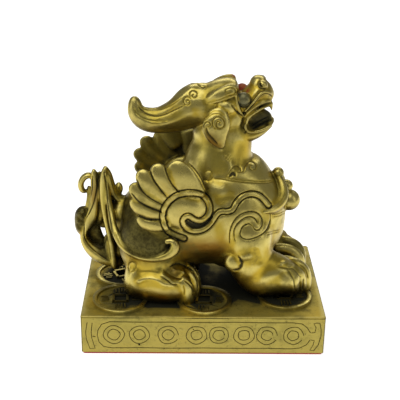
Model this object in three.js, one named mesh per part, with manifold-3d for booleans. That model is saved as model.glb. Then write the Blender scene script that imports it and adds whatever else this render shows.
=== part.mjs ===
// A pixiu, a winged guardian beast, standing on a rectangular plinth strewn with relief cash coins.
// Beast, plinth and coins are one brass casting, and a felt pad is glued under it.
// Millimetres, +Z up. The beast faces +X. The origin is the centre of the underside.
import * as THREE from 'three';
import { mergeVertices } from 'three/addons/utils/BufferGeometryUtils.js';
import Module from 'manifold-3d';

const wasm = await Module();
wasm.setup();

// Driving dimensions
const PLINTH_LENGTH = 115;
const PLINTH_DEPTH = 76;
const PLINTH_HEIGHT = 19.3;
const PLINTH_CORNER = 1.2; // radius of the upright corners
const PLINTH_BEVEL = 0.6; // worn edge round the top
const FELT_THICKNESS = 1;
const FELT_INSET = 0.6;
const FIGURE_HEIGHT = 106; // from the plinth's top to the top of the nose
const COIN_DIAMETER = 26.5;
const COIN_RIM_WIDTH = 2.3;
const COIN_RIM_RISE = 1.8;
const COIN_FIELD_RISE = 0.8;
const COIN_EDGE_SLOPE = 0.4; // how far a coin's edges lean in
const COIN_HOLE = 5.6;
const COIN_FRAME_WIDTH = 1.1; // raised border round the square hole
const SCROLL_WIDTH = 2.2; // the raised bands on the flanks
const SCROLL_RISE = 0.9;
const ROOT_DEPTH = 1.1; // how far relief is rooted in what carries it
const SOLE_DEPTH = 0.5; // how far the paws are rooted in the plinth

// How finely the facets follow the forms
const FACET_TOLERANCE = 0.1;
const LEAST_FACE = 0.002;
const THINNING_PASSES = 4;
const WELD_DISTANCE = 1e-6;
const LEAST_RADIUS = 0.15;
const COIN_FACETS = 22;
const BAND_STEP = 1.6; // spacing of a band's sections, in widths of the band

// What follows from them
const PLINTH_TOP = FELT_THICKNESS + PLINTH_HEIGHT;
const COIN_RADIUS = COIN_DIAMETER / 2;

// The beast is laid out in hundredths of its own height, from the middle of the plinth's top.
const UNIT = FIGURE_HEIGHT / 100;

const X_AXIS = new THREE.Vector3(1, 0, 0);
const Y_AXIS = new THREE.Vector3(0, 1, 0);

// Skins and solids

// A closed skin over rings that have equally many points, with one point closing each end.
function skin(rings, firstTip, lastTip) {
  const points = [firstTip, ...rings.flat(), lastTip];
  const count = rings[0].length;
  const lastRing = 1 + (rings.length - 1) * count;
  const index = [];
  for (let k = 0; k < count; k++) {
    const next = (k + 1) % count;
    index.push(0, 1 + next, 1 + k);
    for (let start = 1; start < lastRing; start += count) {
      const a = start + k;
      const b = start + next;
      index.push(a, b, b + count, a, b + count, a + count);
    }
    index.push(lastRing + k, lastRing + next, points.length - 1);
  }
  return outward(points, index);
}

// Turns every face round if they enclose a negative volume, so that they point outwards.
function outward(points, index) {
  let volume = 0;
  for (let i = 0; i < index.length; i += 3) {
    const [a, b, c] = [points[index[i]], points[index[i + 1]], points[index[i + 2]]];
    volume += a.dot(new THREE.Vector3().crossVectors(b, c));
  }
  const turned = volume < 0 ? index.slice().reverse() : index;
  const geometry = new THREE.BufferGeometry().setFromPoints(points);
  geometry.setIndex(turned);
  return geometry;
}

// A smooth run through rows of numbers: sample(t) gives the row at t, from 0 to 1.
function smoothRows(rows) {
  const curves = [];
  for (let column = 0; column < rows[0].length; column += 3) {
    const vectors = rows.map((row) => new THREE.Vector3(...row.slice(column, column + 3)));
    curves.push(new THREE.CatmullRomCurve3(vectors, false, 'catmullrom', 0.5));
  }
  return (t) => curves.flatMap((curve) => curve.getPoint(t).toArray());
}

// A round form drawn along a spine. Each station is x, y, z, half width across the spine and
// half height. The ends swell by `bulge` times their radius and close.
function limb(stations, { sides, across = Y_AXIS, bulge = [0.6, 0.6] }) {
  const sample = smoothRows(stations);
  const count = stations.length - 1;
  const sections = [];
  for (let i = 0; i <= count; i++) {
    const t = i / count;
    const [x, y, z, width, height] = sample(t);
    const ahead = new THREE.Vector3(...sample(Math.min(1, t + 0.01)));
    const behind = new THREE.Vector3(...sample(Math.max(0, t - 0.01)));
    const along = ahead.sub(behind).normalize();
    const wide = across.clone().addScaledVector(along, -across.dot(along)).normalize();
    const high = new THREE.Vector3().crossVectors(along, wide);
    sections.push({ centre: new THREE.Vector3(x, y, z), along, wide, high, width, height });
  }
  const ringOf = (section, scale, shift) => {
    const ring = [];
    for (let k = 0; k < sides; k++) {
      const angle = (2 * Math.PI * (k + 0.5)) / sides;
      ring.push(section.centre.clone()
        .addScaledVector(section.wide, Math.cos(angle) * Math.max(LEAST_RADIUS, section.width) * scale)
        .addScaledVector(section.high, Math.sin(angle) * Math.max(LEAST_RADIUS, section.height) * scale)
        .addScaledVector(section.along, shift));
    }
    return ring;
  };
  const [first, last] = [sections[0], sections[count]];
  const reach = (section, share) => share * Math.min(section.width, section.height);
  const rings = sections.map((section) => ringOf(section, 1, 0));
  if (bulge[0] > 0.3) {
    rings.unshift(ringOf(first, 0.6, -reach(first, bulge[0] * 0.8)));
  }
  if (bulge[1] > 0.3) {
    rings.push(ringOf(last, 0.6, reach(last, bulge[1] * 0.8)));
  }
  const firstTip = first.centre.clone().addScaledVector(first.along, -reach(first, bulge[0]));
  const lastTip = last.centre.clone().addScaledVector(last.along, reach(last, bulge[1]));
  return inFrame(skin(rings, firstTip, lastTip));
}

// A ball or egg at x, y, z with its three half axes.
function egg([x, y, z], [a, b, c], columns, rows) {
  const ball = new THREE.SphereGeometry(1, columns, rows);
  ball.rotateX(Math.PI / 2);
  ball.scale(a, b, c);
  ball.translate(x, y, z);
  return inFrame(welded(ball));
}

// A sharp tooth from its root to its tip.
function tooth(root, tip, radius) {
  const start = new THREE.Vector3(...root);
  const along = new THREE.Vector3(...tip).sub(start);
  const cone = new THREE.ConeGeometry(radius, along.length(), 7);
  cone.translate(0, along.length() / 2, 0);
  cone.applyQuaternion(new THREE.Quaternion().setFromUnitVectors(Y_AXIS, along.clone().normalize()));
  cone.translate(...root);
  return inFrame(welded(cone));
}

// From hundredths of the figure's height to millimetres on the plinth's top.
function inFrame(geometry) {
  geometry.scale(UNIT, UNIT, UNIT);
  geometry.translate(0, 0, PLINTH_TOP);
  return geometry;
}

function welded(geometry) {
  geometry.deleteAttribute('normal');
  geometry.deleteAttribute('uv');
  return mergeVertices(geometry, WELD_DISTANCE);
}

function solidOf(geometry) {
  return new wasm.Manifold(new wasm.Mesh({
    numProp: 3,
    vertProperties: Float32Array.from(geometry.attributes.position.array),
    triVerts: Uint32Array.from(geometry.index.array),
  }));
}

function join(geometries) {
  return geometries.map(solidOf).reduce((whole, next) => whole.add(next));
}

function geometryOf(solid) {
  const mesh = solid.getMesh();
  const geometry = new THREE.BufferGeometry();
  geometry.setAttribute('position', new THREE.BufferAttribute(mesh.vertProperties, 3));
  geometry.setIndex(filled(mesh.vertProperties, mesh.triVerts));
  return geometry;
}

// The faces without those that line a sealed pocket between two forms, so that the metal is whole.
// A pocket's faces are a shell of their own that encloses a negative volume.
function filled(positions, index) {
  const parent = Array.from({ length: positions.length / 3 }, (_, i) => i);
  const shellOf = (i) => {
    while (parent[i] !== i) {
      parent[i] = parent[parent[i]];
      i = parent[i];
    }
    return i;
  };
  const corner = (i) => new THREE.Vector3().fromArray(positions, 3 * i);
  for (let i = 0; i < index.length; i += 3) {
    parent[shellOf(index[i])] = shellOf(index[i + 1]);
    parent[shellOf(index[i + 1])] = shellOf(index[i + 2]);
  }
  const volumes = new Map();
  for (let i = 0; i < index.length; i += 3) {
    const shell = shellOf(index[i]);
    const [a, b, c] = [corner(index[i]), corner(index[i + 1]), corner(index[i + 2])];
    volumes.set(shell, (volumes.get(shell) ?? 0) + a.dot(b.cross(c)));
  }
  return Array.from(index).filter((_, i) => volumes.get(shellOf(index[i - (i % 3)])) > 0);
}

// A geometry without the needless points that joins leave: a point slides along an edge into its
// neighbour wherever that moves no face by more than the tolerance and turns none far over.
function thinned(geometry, tolerance) {
  const positions = geometry.attributes.position;
  const pointAt = (_, i) => new THREE.Vector3().fromBufferAttribute(positions, i);
  const points = Array.from({ length: positions.count }, pointAt);
  const faces = [];
  for (let i = 0; i < geometry.index.count; i += 3) {
    faces.push([0, 1, 2].map((k) => geometry.index.getX(i + k)));
  }
  const around = points.map(() => new Set());
  faces.forEach((face, f) => face.forEach((v) => around[v].add(f)));
  const neighbours = (v) => new Set([...around[v]].flatMap((f) => faces[f]).filter((w) => w !== v));
  const normalOf = ([a, b, c]) => b.clone().sub(a).cross(c.clone().sub(a));
  const place = (v) => points[v].toArray().map((value) => value.toFixed(4)).join();
  const tally = new Map();
  points.forEach((_, v) => tally.set(place(v), (tally.get(place(v)) ?? 0) + 1));
  const pinched = points.map((_, v) => tally.get(place(v)) > 1); // where two forms only just touch
  const canSlide = (from, to) => {
    if (pinched[from] || pinched[to]) {
      return false;
    }
    const others = neighbours(to);
    if ([...neighbours(from)].filter((v) => others.has(v)).length !== 2) {
      return false;
    }
    const move = points[to].clone().sub(points[from]);
    return [...around[from]].filter((f) => !faces[f].includes(to)).every((f) => {
      const before = normalOf(faces[f].map((v) => points[v]));
      const after = normalOf(faces[f].map((v) => points[v === from ? to : v]));
      const turned = before.dot(after) < 0.5 * before.length() * after.length();
      return !turned && after.length() > LEAST_FACE && Math.abs(before.normalize().dot(move)) < tolerance;
    });
  };
  const slide = (from, to) => {
    for (const f of around[from]) {
      if (faces[f].includes(to)) {
        faces[f].forEach((v) => v !== from && around[v].delete(f));
        faces[f] = null;
      } else {
        faces[f] = faces[f].map((v) => (v === from ? to : v));
        around[to].add(f);
      }
    }
    around[from] = new Set();
  };
  for (let pass = 0; pass < THINNING_PASSES; pass++) {
    for (let v = 0; v < points.length; v++) {
      const length = (w) => points[w].distanceTo(points[v]);
      const nearest = [...neighbours(v)].sort((a, b) => length(a) - length(b));
      const target = nearest.find((w) => canSlide(v, w));
      if (target !== undefined) {
        slide(v, target);
      }
    }
  }
  geometry.setIndex(faces.filter(Boolean).flat());
  return mergeVertices(geometry, WELD_DISTANCE);
}

// The stations of one side mirrored to the other: side is -1 towards -Y and 1 towards +Y.
const sided = (stations, side) => stations.map(([x, y, z, ...rest]) => [x, side * y, z, ...rest]);
const SIDES = [-1, 1];

// Body

function trunk() {
  const chestAndNeck = [
    [6, 0, 12, 8, 9],
    [8, 0, 16, 15, 18],
    [9, 0, 24, 20, 26.5],
    [9.5, 0, 34, 22.5, 28],
    [9, 0, 43, 22.5, 27.5],
    [8.5, 0, 51, 20, 23.5],
    [8, 0, 57, 17, 20.5],
    [7.3, 0, 63, 14, 16],
    [8, 0, 69, 12, 13.2],
    [7.5, 0, 75, 11.2, 13.2],
    [6.5, 0, 81, 10, 11],
  ];
  const bellyAndRump = [
    [-37.5, 0, 26, 8, 8],
    [-34, 0, 26.5, 15, 14.5],
    [-27, 0, 28, 20, 19],
    [-17, 0, 30.5, 22, 21.5],
    [-7, 0, 33.5, 23, 23],
    [5, 0, 35.5, 23, 24.5],
    [14, 0, 37, 19, 22],
  ];
  return [
    limb(chestAndNeck, { sides: 14, bulge: [0.3, 0.3] }),
    limb(bellyAndRump, { sides: 14, bulge: [0.4, 0.3] }),
  ];
}

// Legs and paws

function toes(roots, reach, side) {
  return roots.map(([y, x, lift]) => limb(sided([
    [x - reach, y, 11 + lift, 2.8, 3.2],
    [x - reach * 0.35, y, 9.6 + lift, 3.1, 4],
    [x, y, 3, 2.6, 3],
  ], side), { sides: 7, bulge: [0.2, 0.6] }));
}

function frontLeg(side) {
  const leg = [
    [19, 15, 38, 7, 9],
    [19.5, 16, 30, 8.5, 11],
    [20.5, 16, 23, 8, 9.5],
    [22.5, 15.5, 15, 8, 9],
    [24, 15.5, 7, 8, 9],
  ];
  const paw = [
    [17, 15, 13.5, 6.5, 8],
    [24, 15.5, 11.5, 8.5, 12],
    [32, 15.8, 9.5, 9.3, 12],
    [38.5, 15.8, 8, 9, 9.8],
    [43, 15.8, 6.5, 8, 7.6],
  ];
  return [
    limb(sided(leg, side), { sides: 10, bulge: [0.4, 0.1] }),
    limb(sided(paw, side), { sides: 10, bulge: [0.4, 0.3] }),
    egg([13.6, side * 15.5, 14.4], [3.4, 4.2, 3.4], 7, 5),
    ...toes([[22.2, 46, 0], [17.8, 49.4, 0.6], [13.4, 49.6, 0.6], [9.2, 47, 0]], 13, side),
  ];
}

function hindLeg(side) {
  const paw = [
    [-30.5, 17, 11, 6, 8],
    [-24, 17.6, 9.5, 8.5, 11.5],
    [-17, 18, 8.5, 9.6, 11],
    [-11.5, 18, 7, 9.2, 9.2],
    [-8.5, 18, 5.5, 8, 7],
  ];
  return [
    egg([-23.5, side * 13, 25], [14.5, 11.5, 17.5], 12, 7),
    limb(sided(paw, side), { sides: 10, bulge: [0.4, 0.3] }),
    egg([-32.4, side * 17.5, 13.8], [3.2, 4, 3.2], 7, 5),
    ...toes([[24.6, -7.6, 0], [20.2, -4.4, 0.8], [15.8, -3.8, 1], [11.6, -6, 0.4]], 10, side),
  ];
}

// Head

function skull() {
  const cranium = [
    [-3.5, 0, 84, 6, 8],
    [1, 0, 85, 9, 10.4],
    [6, 0, 85.8, 10, 11.6],
    [11, 0, 86.4, 10, 12],
    [13.6, 0, 86.6, 9.4, 10.6],
  ];
  const snout = [
    [11, 0, 86, 9, 6],
    [16, 0, 87.2, 8.8, 4.4],
    [20, 0, 90.6, 7.8, 4.6],
    [24, 0, 93.3, 7, 4.9],
    [27, 0, 92.9, 5.6, 3.9],
    [28.3, 0, 92.4, 3.6, 2.4],
  ];
  const lowerJaw = [
    [8, 0, 77.5, 9.5, 7.5],
    [14, 0, 75.8, 9, 6.2],
    [19, 0, 74.6, 7.8, 4.2],
    [24, 0, 74.9, 6.8, 3.1],
    [28, 0, 76.4, 5.4, 2.2],
    [29.6, 0, 77.3, 3.4, 1.3],
  ];
  const tongue = [
    [15, 0, 77.6, 3.6, 1.4],
    [21, 0, 78.9, 3.8, 1.4],
    [26, 0, 80.2, 3.4, 1.2],
    [28.6, 0, 81.4, 2, 0.9],
  ];
  const mouthWeb = [
    [14, 0, 82, 6, 5],
    [19.5, 0, 82.8, 5, 5],
    [24.6, 0, 84.6, 3.6, 5.4],
  ];
  return [
    limb(mouthWeb, { sides: 8, bulge: [0.2, 0.3] }),
    limb(cranium, { sides: 12, bulge: [0.3, 0.15] }),
    limb(snout, { sides: 10, bulge: [0.3, 0.5] }),
    limb(lowerJaw, { sides: 10, bulge: [0.3, 0.5] }),
    limb(tongue, { sides: 6, bulge: [0.2, 0.4] }),
    egg([23.4, 0, 96.2], [4.1, 5.4, 3.8], 8, 6),
  ];
}

function face(side) {
  const brow = [
    [0.5, 8.4, 89.8, 1.4, 1.6],
    [5, 8.6, 93.2, 2.1, 2.1],
    [9, 7.8, 95, 2.3, 2.3],
    [12.6, 6.6, 95, 2.2, 2.2],
  ];
  const upperLip = [
    [17.6, 8, 83.6, 0.9, 1.1],
    [20.4, 7.8, 88.4, 1.2, 1.5],
    [24, 7.2, 92.6, 1.2, 1.5],
    [27, 5, 93.6, 1.2, 1.4],
    [28.6, 1.6, 93.2, 1.2, 1.3],
  ];
  return [
    limb(sided(brow, side), { sides: 7, bulge: [0.4, 0.6] }),
    limb(sided(upperLip, side), { sides: 6, bulge: [0.3, 0.3], across: X_AXIS }),
    egg([16, side * 7.8, 91.2], [3.3, 3.2, 3.3], 9, 7),
    egg([9.6, side * 8.8, 87.6], [4, 3, 3.6], 7, 5),
    egg([25, side * 3.6, 97], [2.2, 2.2, 2.1], 7, 5),
    tooth([28, side * 4, 91], [28.6, side * 4, 84.6], 1.3),
  ];
}

function ear(side) {
  const leaf = [
    [3.6, 11, 88, 2.8, 1.6],
    [4.4, 12.6, 84.4, 5, 2.6],
    [3.6, 13.6, 80, 5.2, 2.6],
    [4.6, 14, 75.6, 3.6, 1.8],
    [6.8, 13.6, 71.6, 1, 0.7],
  ];
  return [limb(sided(leaf, side), { sides: 8, across: X_AXIS, bulge: [0.5, 0.4] })];
}

function horn() {
  const centreline = [
    [-31.2, 0, 87.2, 2.8, 2.6],
    [-30.4, 0, 82.6, 4, 3.8],
    [-26.6, 0, 79.6, 5, 5.2],
    [-21.6, 0, 79, 5.8, 6],
    [-16.5, 0, 80.3, 6.6, 7.3],
    [-11, 0, 83, 7.4, 9],
    [-5, 0, 85.9, 8.2, 10.6],
    [1, 0, 86, 8.4, 9.6],
  ];
  return [limb(centreline, { sides: 10, bulge: [0.9, 0.3] })];
}

// Wings

// Each feather is a row of stations from its root on the shoulder disc to its tip:
// x, z and half width, seen from the side.
const FEATHERS = [
  [[-4.2, 50.4, 5.4], [-7.8, 56.5, 6.2], [-10.6, 61.6, 6], [-13.4, 65.6, 4.2]],
  [[-9.6, 50.4, 3.6], [-14.8, 55, 4.2], [-19, 60.4, 4.4], [-20.6, 64.6, 3.5]],
  [[-13, 48.6, 3.1], [-19, 52.6, 3.7], [-24.8, 57.8, 4.1], [-27.2, 61.8, 3.4]],
  [[-15, 45.8, 2.9], [-21.8, 48.6, 3.4], [-27.6, 52.4, 3.8], [-30.6, 55.6, 3.2]],
  [[-16.2, 42, 2.8], [-22.5, 43.8, 3.3], [-27.6, 46.2, 3.6], [-30.4, 49, 3]],
  [[-15.4, 38, 2.7], [-20.5, 37.8, 3.2], [-25, 38.9, 3.4], [-27.6, 40.8, 2.8]],
];
const FEATHER_THICKNESS = [2.6, 2.4, 2, 1.4];
const FEATHER_OUTSET = [20.5, 21.6, 21.8, 21];

function wing(side) {
  const feathers = FEATHERS.map((feather) => {
    const station = ([x, z, width], i) => [x, FEATHER_OUTSET[i], z, FEATHER_THICKNESS[i], width];
    return limb(sided(feather.map(station), side), { sides: 7, bulge: [0.2, 1.3] });
  });
  return [...feathers, egg([-8.6, side * 18.6, 44.5], [11.2, 6.2, 11], 12, 7)];
}

// Tail: curling locks that spring from the rump, most of them near the middle.
function tail() {
  const tall = [
    [-36, -1, 38, 4, 3],
    [-40.4, -1, 46, 3.2, 2.4],
    [-43.4, -1, 54, 2.6, 2],
    [-45.6, -1, 54.6, 2.4, 2],
    [-45.6, -1, 46, 3, 2.4],
    [-44.6, -2, 37, 3.2, 2.5],
    [-43, -3, 28, 3, 2],
    [-41.4, -4, 18, 3, 2.2],
    [-40.6, -4, 8, 2.8, 2.4],
  ];
  const branch = [
    [-41.6, 3, 53, 1.8, 1.6],
    [-39.6, 3, 47.6, 2.4, 2.2],
    [-36, 3, 43, 3, 2.4],
    [-31, 3, 43, 3, 2],
  ];
  const outer = [
    [-48.4, 1, 50.6, 2, 1.6],
    [-49.8, 1, 53, 2.4, 2],
    [-49.2, 1, 45.4, 3.2, 2.6],
    [-49.4, 1, 37.5, 3.6, 2.9],
    [-51.2, 1, 30.5, 3.8, 2.8],
    [-54.2, 1, 24.6, 3.8, 2.8],
    [-52.6, 0, 17.6, 4.4, 3.2],
    [-48, -1, 12.6, 4.6, 3.6],
    [-42.6, -2, 10, 4, 3.2],
    [-37, -2, 9.6, 3, 2.6],
  ];
  const hook = [
    [-50, 3, 52.6, 2, 1.4],
    [-53.6, 3, 52.4, 2.4, 1.6],
    [-55.6, 3, 48.8, 2.6, 1.7],
    [-54.4, 3, 44.8, 2.4, 1.6],
    [-51, 3, 44, 2, 1.4],
  ];
  const knot = [
    [-51, 4, 38, 2, 2],
    [-55.6, 4, 36, 2.8, 2.4],
    [-57, 4, 31.4, 3, 2.6],
    [-56.2, 4, 27, 2.6, 2.2],
    [-53, 4, 24.6, 2, 1.8],
  ];
  const filler = [
    [-45.6, 2, 52, 2, 2.6],
    [-46.8, 2, 44, 2.6, 3],
    [-47, 2, 36, 2.6, 3],
    [-48.6, 2, 31, 2.2, 2.4],
  ];
  const foot = [
    [-33, 0, 18, 4, 5],
    [-40.6, -2, 15, 3.4, 5],
    [-47, -1, 15, 3, 3.6],
  ];
  return [
    limb(tall, { sides: 8, bulge: [0.2, 0.4] }),
    limb(branch, { sides: 7, bulge: [0.8, 0.3] }),
    limb(outer, { sides: 8, bulge: [0.4, 0.4] }),
    limb(hook, { sides: 7, bulge: [0.4, 0.6] }),
    limb(knot, { sides: 7, bulge: [0.4, 0.6] }),
    limb(filler, { sides: 6 }),
    limb(foot, { sides: 6 }),
  ];
}

// The long lock that sweeps from the tail round the haunch and curls up behind the belly.
function haunchLock(side) {
  const lock = [
    [-43.4, 3, 43, 1.2, 1.3],
    [-42, 6, 37, 1.4, 1.6],
    [-40.4, 11, 31.4, 1.6, 1.8],
    [-36.4, 18.5, 26.6, 1.7, 1.8],
    [-30.4, 22.4, 23.8, 1.7, 1.7],
    [-23.6, 24, 23, 1.8, 1.7],
    [-17, 24.4, 24.2, 2, 2],
    [-13, 24.6, 27.6, 2.2, 2.6],
    [-13.4, 24.4, 31.4, 2, 1.8],
    [-16.8, 24, 31.6, 1.4, 1.2],
  ];
  return [limb(sided(lock, side), { sides: 6, bulge: [0.3, 0.6] })];
}

// Chest ornament: three beads down the middle and a crescent lock on each side.
function beads() {
  return [
    egg([33.4, 0, 54.4], [2.7, 2.7, 2.7], 7, 5),
    egg([37.5, 0, 48.2], [2.9, 2.9, 2.8], 7, 5),
    egg([38.6, 0, 41.4], [4.9, 4.9, 4.7], 9, 7),
  ];
}

function crescent(side) {
  const lock = [
    [33.8, 3.5, 51, 1.8, 1.6],
    [36, 6.5, 46.4, 2.4, 2.4],
    [35.6, 9.6, 41.6, 2.6, 2.6],
    [32.6, 13.6, 38.6, 2.2, 2.2],
    [29, 16.6, 37.6, 1.6, 1.6],
    [26, 18.6, 38.2, 0.8, 0.7],
  ];
  return [limb(sided(lock, side), { sides: 7, bulge: [0.4, 0.4] })];
}

// Raised bands on the flanks, as paths of x and z seen from the side.
const WING_SCROLL = [
  [-10.5, 31.1], [-15.5, 34.9], [-18.6, 40], [-17.3, 46.7], [-12.5, 52], [-6.4, 54.1], [0.2, 51.6],
  [2.4, 46.5], [0.6, 41.4], [-4.8, 41.4], [-9, 42.4], [-10, 39.6], [-8, 36.6], [-2.6, 34.6],
  [3.5, 38.5], [6.4, 44.4], [10.8, 45.6], [15.6, 51.1], [20.9, 53.6], [27.3, 49.8],
];
const SHOULDER_SCROLL = [
  [11.2, 28.8], [11.8, 36], [16.1, 42], [21.4, 43.2], [25.5, 38.8], [23.6, 34.8], [20.6, 38.6],
  [16.2, 36.4], [14.8, 31.4], [17.6, 28.4], [24, 30.4], [29.4, 36],
];
const COLLAR = [
  [3, 58.6], [8.8, 57.1], [14.2, 55.8], [20.5, 55.4], [27, 55.2],
];

// A band that follows a path over a carrier's flank, rooted below the surface it lies on.
function band(path, side, carrier, width, rise) {
  const probe = new THREE.Raycaster();
  const outside = 2 * PLINTH_DEPTH;
  const lying = (x, z, lift) => {
    probe.set(new THREE.Vector3(x, side * outside, z), new THREE.Vector3(0, -side, 0));
    const hit = probe.intersectObject(carrier)[0];
    const surface = hit ? hit.point.y : 0; // past the carrier's edge the band lies on the middle plane
    return new THREE.Vector3(x, surface + side * lift, z);
  };
  const points = path.map(([x, z]) => new THREE.Vector3(x * UNIT, 0, z * UNIT + PLINTH_TOP));
  const route = new THREE.CatmullRomCurve3(points, false, 'centripetal');
  const count = Math.round(route.getLength() / (BAND_STEP * width));
  const rings = [];
  for (let i = 0; i <= count; i++) {
    const at = route.getPointAt(i / count);
    const along = route.getTangentAt(i / count);
    const taper = Math.sin(Math.PI * Math.min(0.5, 0.12 + Math.min(i, count - i) * 0.2));
    const half = (width / 2) * taper;
    const off = (share, lift) => lying(at.x - along.z * half * share, at.z + along.x * half * share, lift);
    rings.push([off(1, -ROOT_DEPTH), off(0, rise * taper), off(-1, -ROOT_DEPTH)]);
  }
  const middle = (ring) => ring[0].clone().add(ring[1]).add(ring[2]).divideScalar(3);
  return skin(rings, middle(rings[0]), middle(rings[count]));
}

// Plinth, coins and felt

// A block with rounded upright corners; each level is a height and how far its outline draws in.
function block(length, depth, corner, levels) {
  const arcSteps = 3;
  const rings = levels.map(([z, inset]) => {
    const ring = [];
    for (let quarter = 0; quarter < 4; quarter++) {
      const [signX, signY] = [[1, 1], [-1, 1], [-1, -1], [1, -1]][quarter];
      for (let i = 0; i <= arcSteps; i++) {
        const angle = (Math.PI / 2) * (quarter + i / arcSteps);
        const radius = corner - inset * 0.5;
        ring.push(new THREE.Vector3(
          signX * (length / 2 - inset - radius) + radius * Math.cos(angle),
          signY * (depth / 2 - inset - radius) + radius * Math.sin(angle),
          z,
        ));
      }
    }
    return ring;
  });
  const [low, high] = [levels[0][0], levels[levels.length - 1][0]];
  return skin(rings, new THREE.Vector3(0, 0, low), new THREE.Vector3(0, 0, high));
}

// Centres of the coins in hundredths of the figure's height, under and between its paws.
const COINS = [[-37.4, -21.2], [-38, 2.6], [0.4, -22], [37.2, -17.5], [37.2, 18.9]];

function coin() {
  const bed = -ROOT_DEPTH;
  const profile = [
    [0, bed], [COIN_RADIUS, bed], [COIN_RADIUS - COIN_EDGE_SLOPE, COIN_RIM_RISE],
    [COIN_RADIUS - COIN_RIM_WIDTH, COIN_RIM_RISE],
    [COIN_RADIUS - COIN_RIM_WIDTH - COIN_EDGE_SLOPE, COIN_FIELD_RISE], [0, COIN_FIELD_RISE],
  ];
  const disc = new THREE.LatheGeometry(profile.map(([r, z]) => new THREE.Vector2(r, z)), COIN_FACETS);
  disc.rotateX(Math.PI / 2);
  const square = (size, low, high) => {
    const box = new THREE.BoxGeometry(size, size, high - low);
    box.translate(0, 0, (low + high) / 2);
    return solidOf(welded(box));
  };
  const frameSize = COIN_HOLE + 2 * COIN_FRAME_WIDTH;
  return solidOf(welded(disc))
    .add(square(frameSize, bed, COIN_RIM_RISE))
    .subtract(square(COIN_HOLE, COIN_FIELD_RISE * 0.3, 2 * COIN_RIM_RISE));
}

function casting() {
  const bodyForms = [
    ...trunk(),
    ...SIDES.flatMap((side) => [...frontLeg(side), ...hindLeg(side), ...wing(side)]),
  ];
  const body = join(bodyForms);
  const carrier = new THREE.Mesh(geometryOf(body), new THREE.MeshBasicMaterial({ side: THREE.DoubleSide }));
  const scrolls = SIDES.flatMap((side) => [
    band(WING_SCROLL, side, carrier, SCROLL_WIDTH, SCROLL_RISE),
    band(SHOULDER_SCROLL, side, carrier, SCROLL_WIDTH * 0.9, SCROLL_RISE),
    band(COLLAR, side, carrier, SCROLL_WIDTH * 0.7, SCROLL_RISE * 0.7),
  ]);
  const details = [
    ...skull(), ...horn(), ...tail(), ...beads(), ...scrolls,
    ...SIDES.flatMap((side) => [...face(side), ...ear(side), ...haunchLock(side), ...crescent(side)]),
  ];
  const plinth = solidOf(block(PLINTH_LENGTH, PLINTH_DEPTH, PLINTH_CORNER, [
    [FELT_THICKNESS, 0], [PLINTH_TOP - PLINTH_BEVEL, 0], [PLINTH_TOP, PLINTH_BEVEL],
  ]));
  const aboveGround = solidOf(block(2 * PLINTH_LENGTH, 2 * PLINTH_DEPTH, PLINTH_CORNER, [
    [PLINTH_TOP - SOLE_DEPTH, 0], [PLINTH_TOP + 2 * FIGURE_HEIGHT, 0],
  ]));
  const figure = body.add(join(details)).intersect(aboveGround);
  const coins = COINS.map(([x, y]) => coin().translate([x * UNIT, y * UNIT, PLINTH_TOP]));
  return coins.reduce((whole, next) => whole.add(next), plinth.add(figure));
}

// Materials and nodes

function piece(name, geometry, material) {
  const mesh = new THREE.Mesh(geometry, material);
  mesh.name = name;
  return mesh;
}

const brass = new THREE.MeshStandardMaterial({ color: 0xa8842f, roughness: 0.35, metalness: 1 });
const redFelt = new THREE.MeshStandardMaterial({ color: 0xa3131c, roughness: 0.95, metalness: 0 });

const felt = block(PLINTH_LENGTH - 2 * FELT_INSET, PLINTH_DEPTH - 2 * FELT_INSET, PLINTH_CORNER, [
  [0, 0], [FELT_THICKNESS, 0],
]);
felt.computeVertexNormals();

const cast = thinned(geometryOf(casting()), FACET_TOLERANCE);
cast.computeVertexNormals();

const pixiu = new THREE.Group();
pixiu.add(piece('pixiu_casting', cast, brass));
pixiu.add(piece('felt_pad', felt, redFelt));

export default pixiu;
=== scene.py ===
"""A cast brass pixiu standing on a plinth strewn with cash coins, and the felt under it.

Metres, +Z up, the beast faces +X. Its forms are laid out in hundredths of its own height from the
middle of the plinth's top, as in the solids, and are turned into metres by `place`.
"""
import math
import random

import bmesh
import bpy
import numpy as np
from mathutils import Matrix, Vector, noise
from mathutils.bvhtree import BVHTree


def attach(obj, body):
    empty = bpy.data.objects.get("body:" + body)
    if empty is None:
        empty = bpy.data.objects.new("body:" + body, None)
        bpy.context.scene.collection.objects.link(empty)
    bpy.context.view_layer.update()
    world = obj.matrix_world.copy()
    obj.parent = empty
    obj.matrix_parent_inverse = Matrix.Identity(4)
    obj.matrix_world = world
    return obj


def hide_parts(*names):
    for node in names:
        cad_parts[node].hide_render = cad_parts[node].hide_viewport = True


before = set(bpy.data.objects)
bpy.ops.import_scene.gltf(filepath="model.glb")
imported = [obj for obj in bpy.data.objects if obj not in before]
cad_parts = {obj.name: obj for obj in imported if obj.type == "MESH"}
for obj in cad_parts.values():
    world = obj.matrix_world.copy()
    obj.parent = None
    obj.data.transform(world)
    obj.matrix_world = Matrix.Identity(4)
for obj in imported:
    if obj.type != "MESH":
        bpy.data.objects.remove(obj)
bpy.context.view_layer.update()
random.seed(7)

# Sizes, in metres
PLINTH_LENGTH = 0.115
PLINTH_DEPTH = 0.076
FELT_THICKNESS = 0.001
PLINTH_TOP = 0.0203
UNIT = 0.00106  # a hundredth of the figure's height
MM = 0.001
FLESH_VOXEL = 0.0009
METAL_VOXEL = 0.0004
BEAST_TRIANGLES = 143000
SCALE_OF_SUBDIVISION = 1.035  # a twelve-sided cage shrinks by this when it is subdivided once
LEAST_RADIUS = 0.15  # in units
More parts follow.
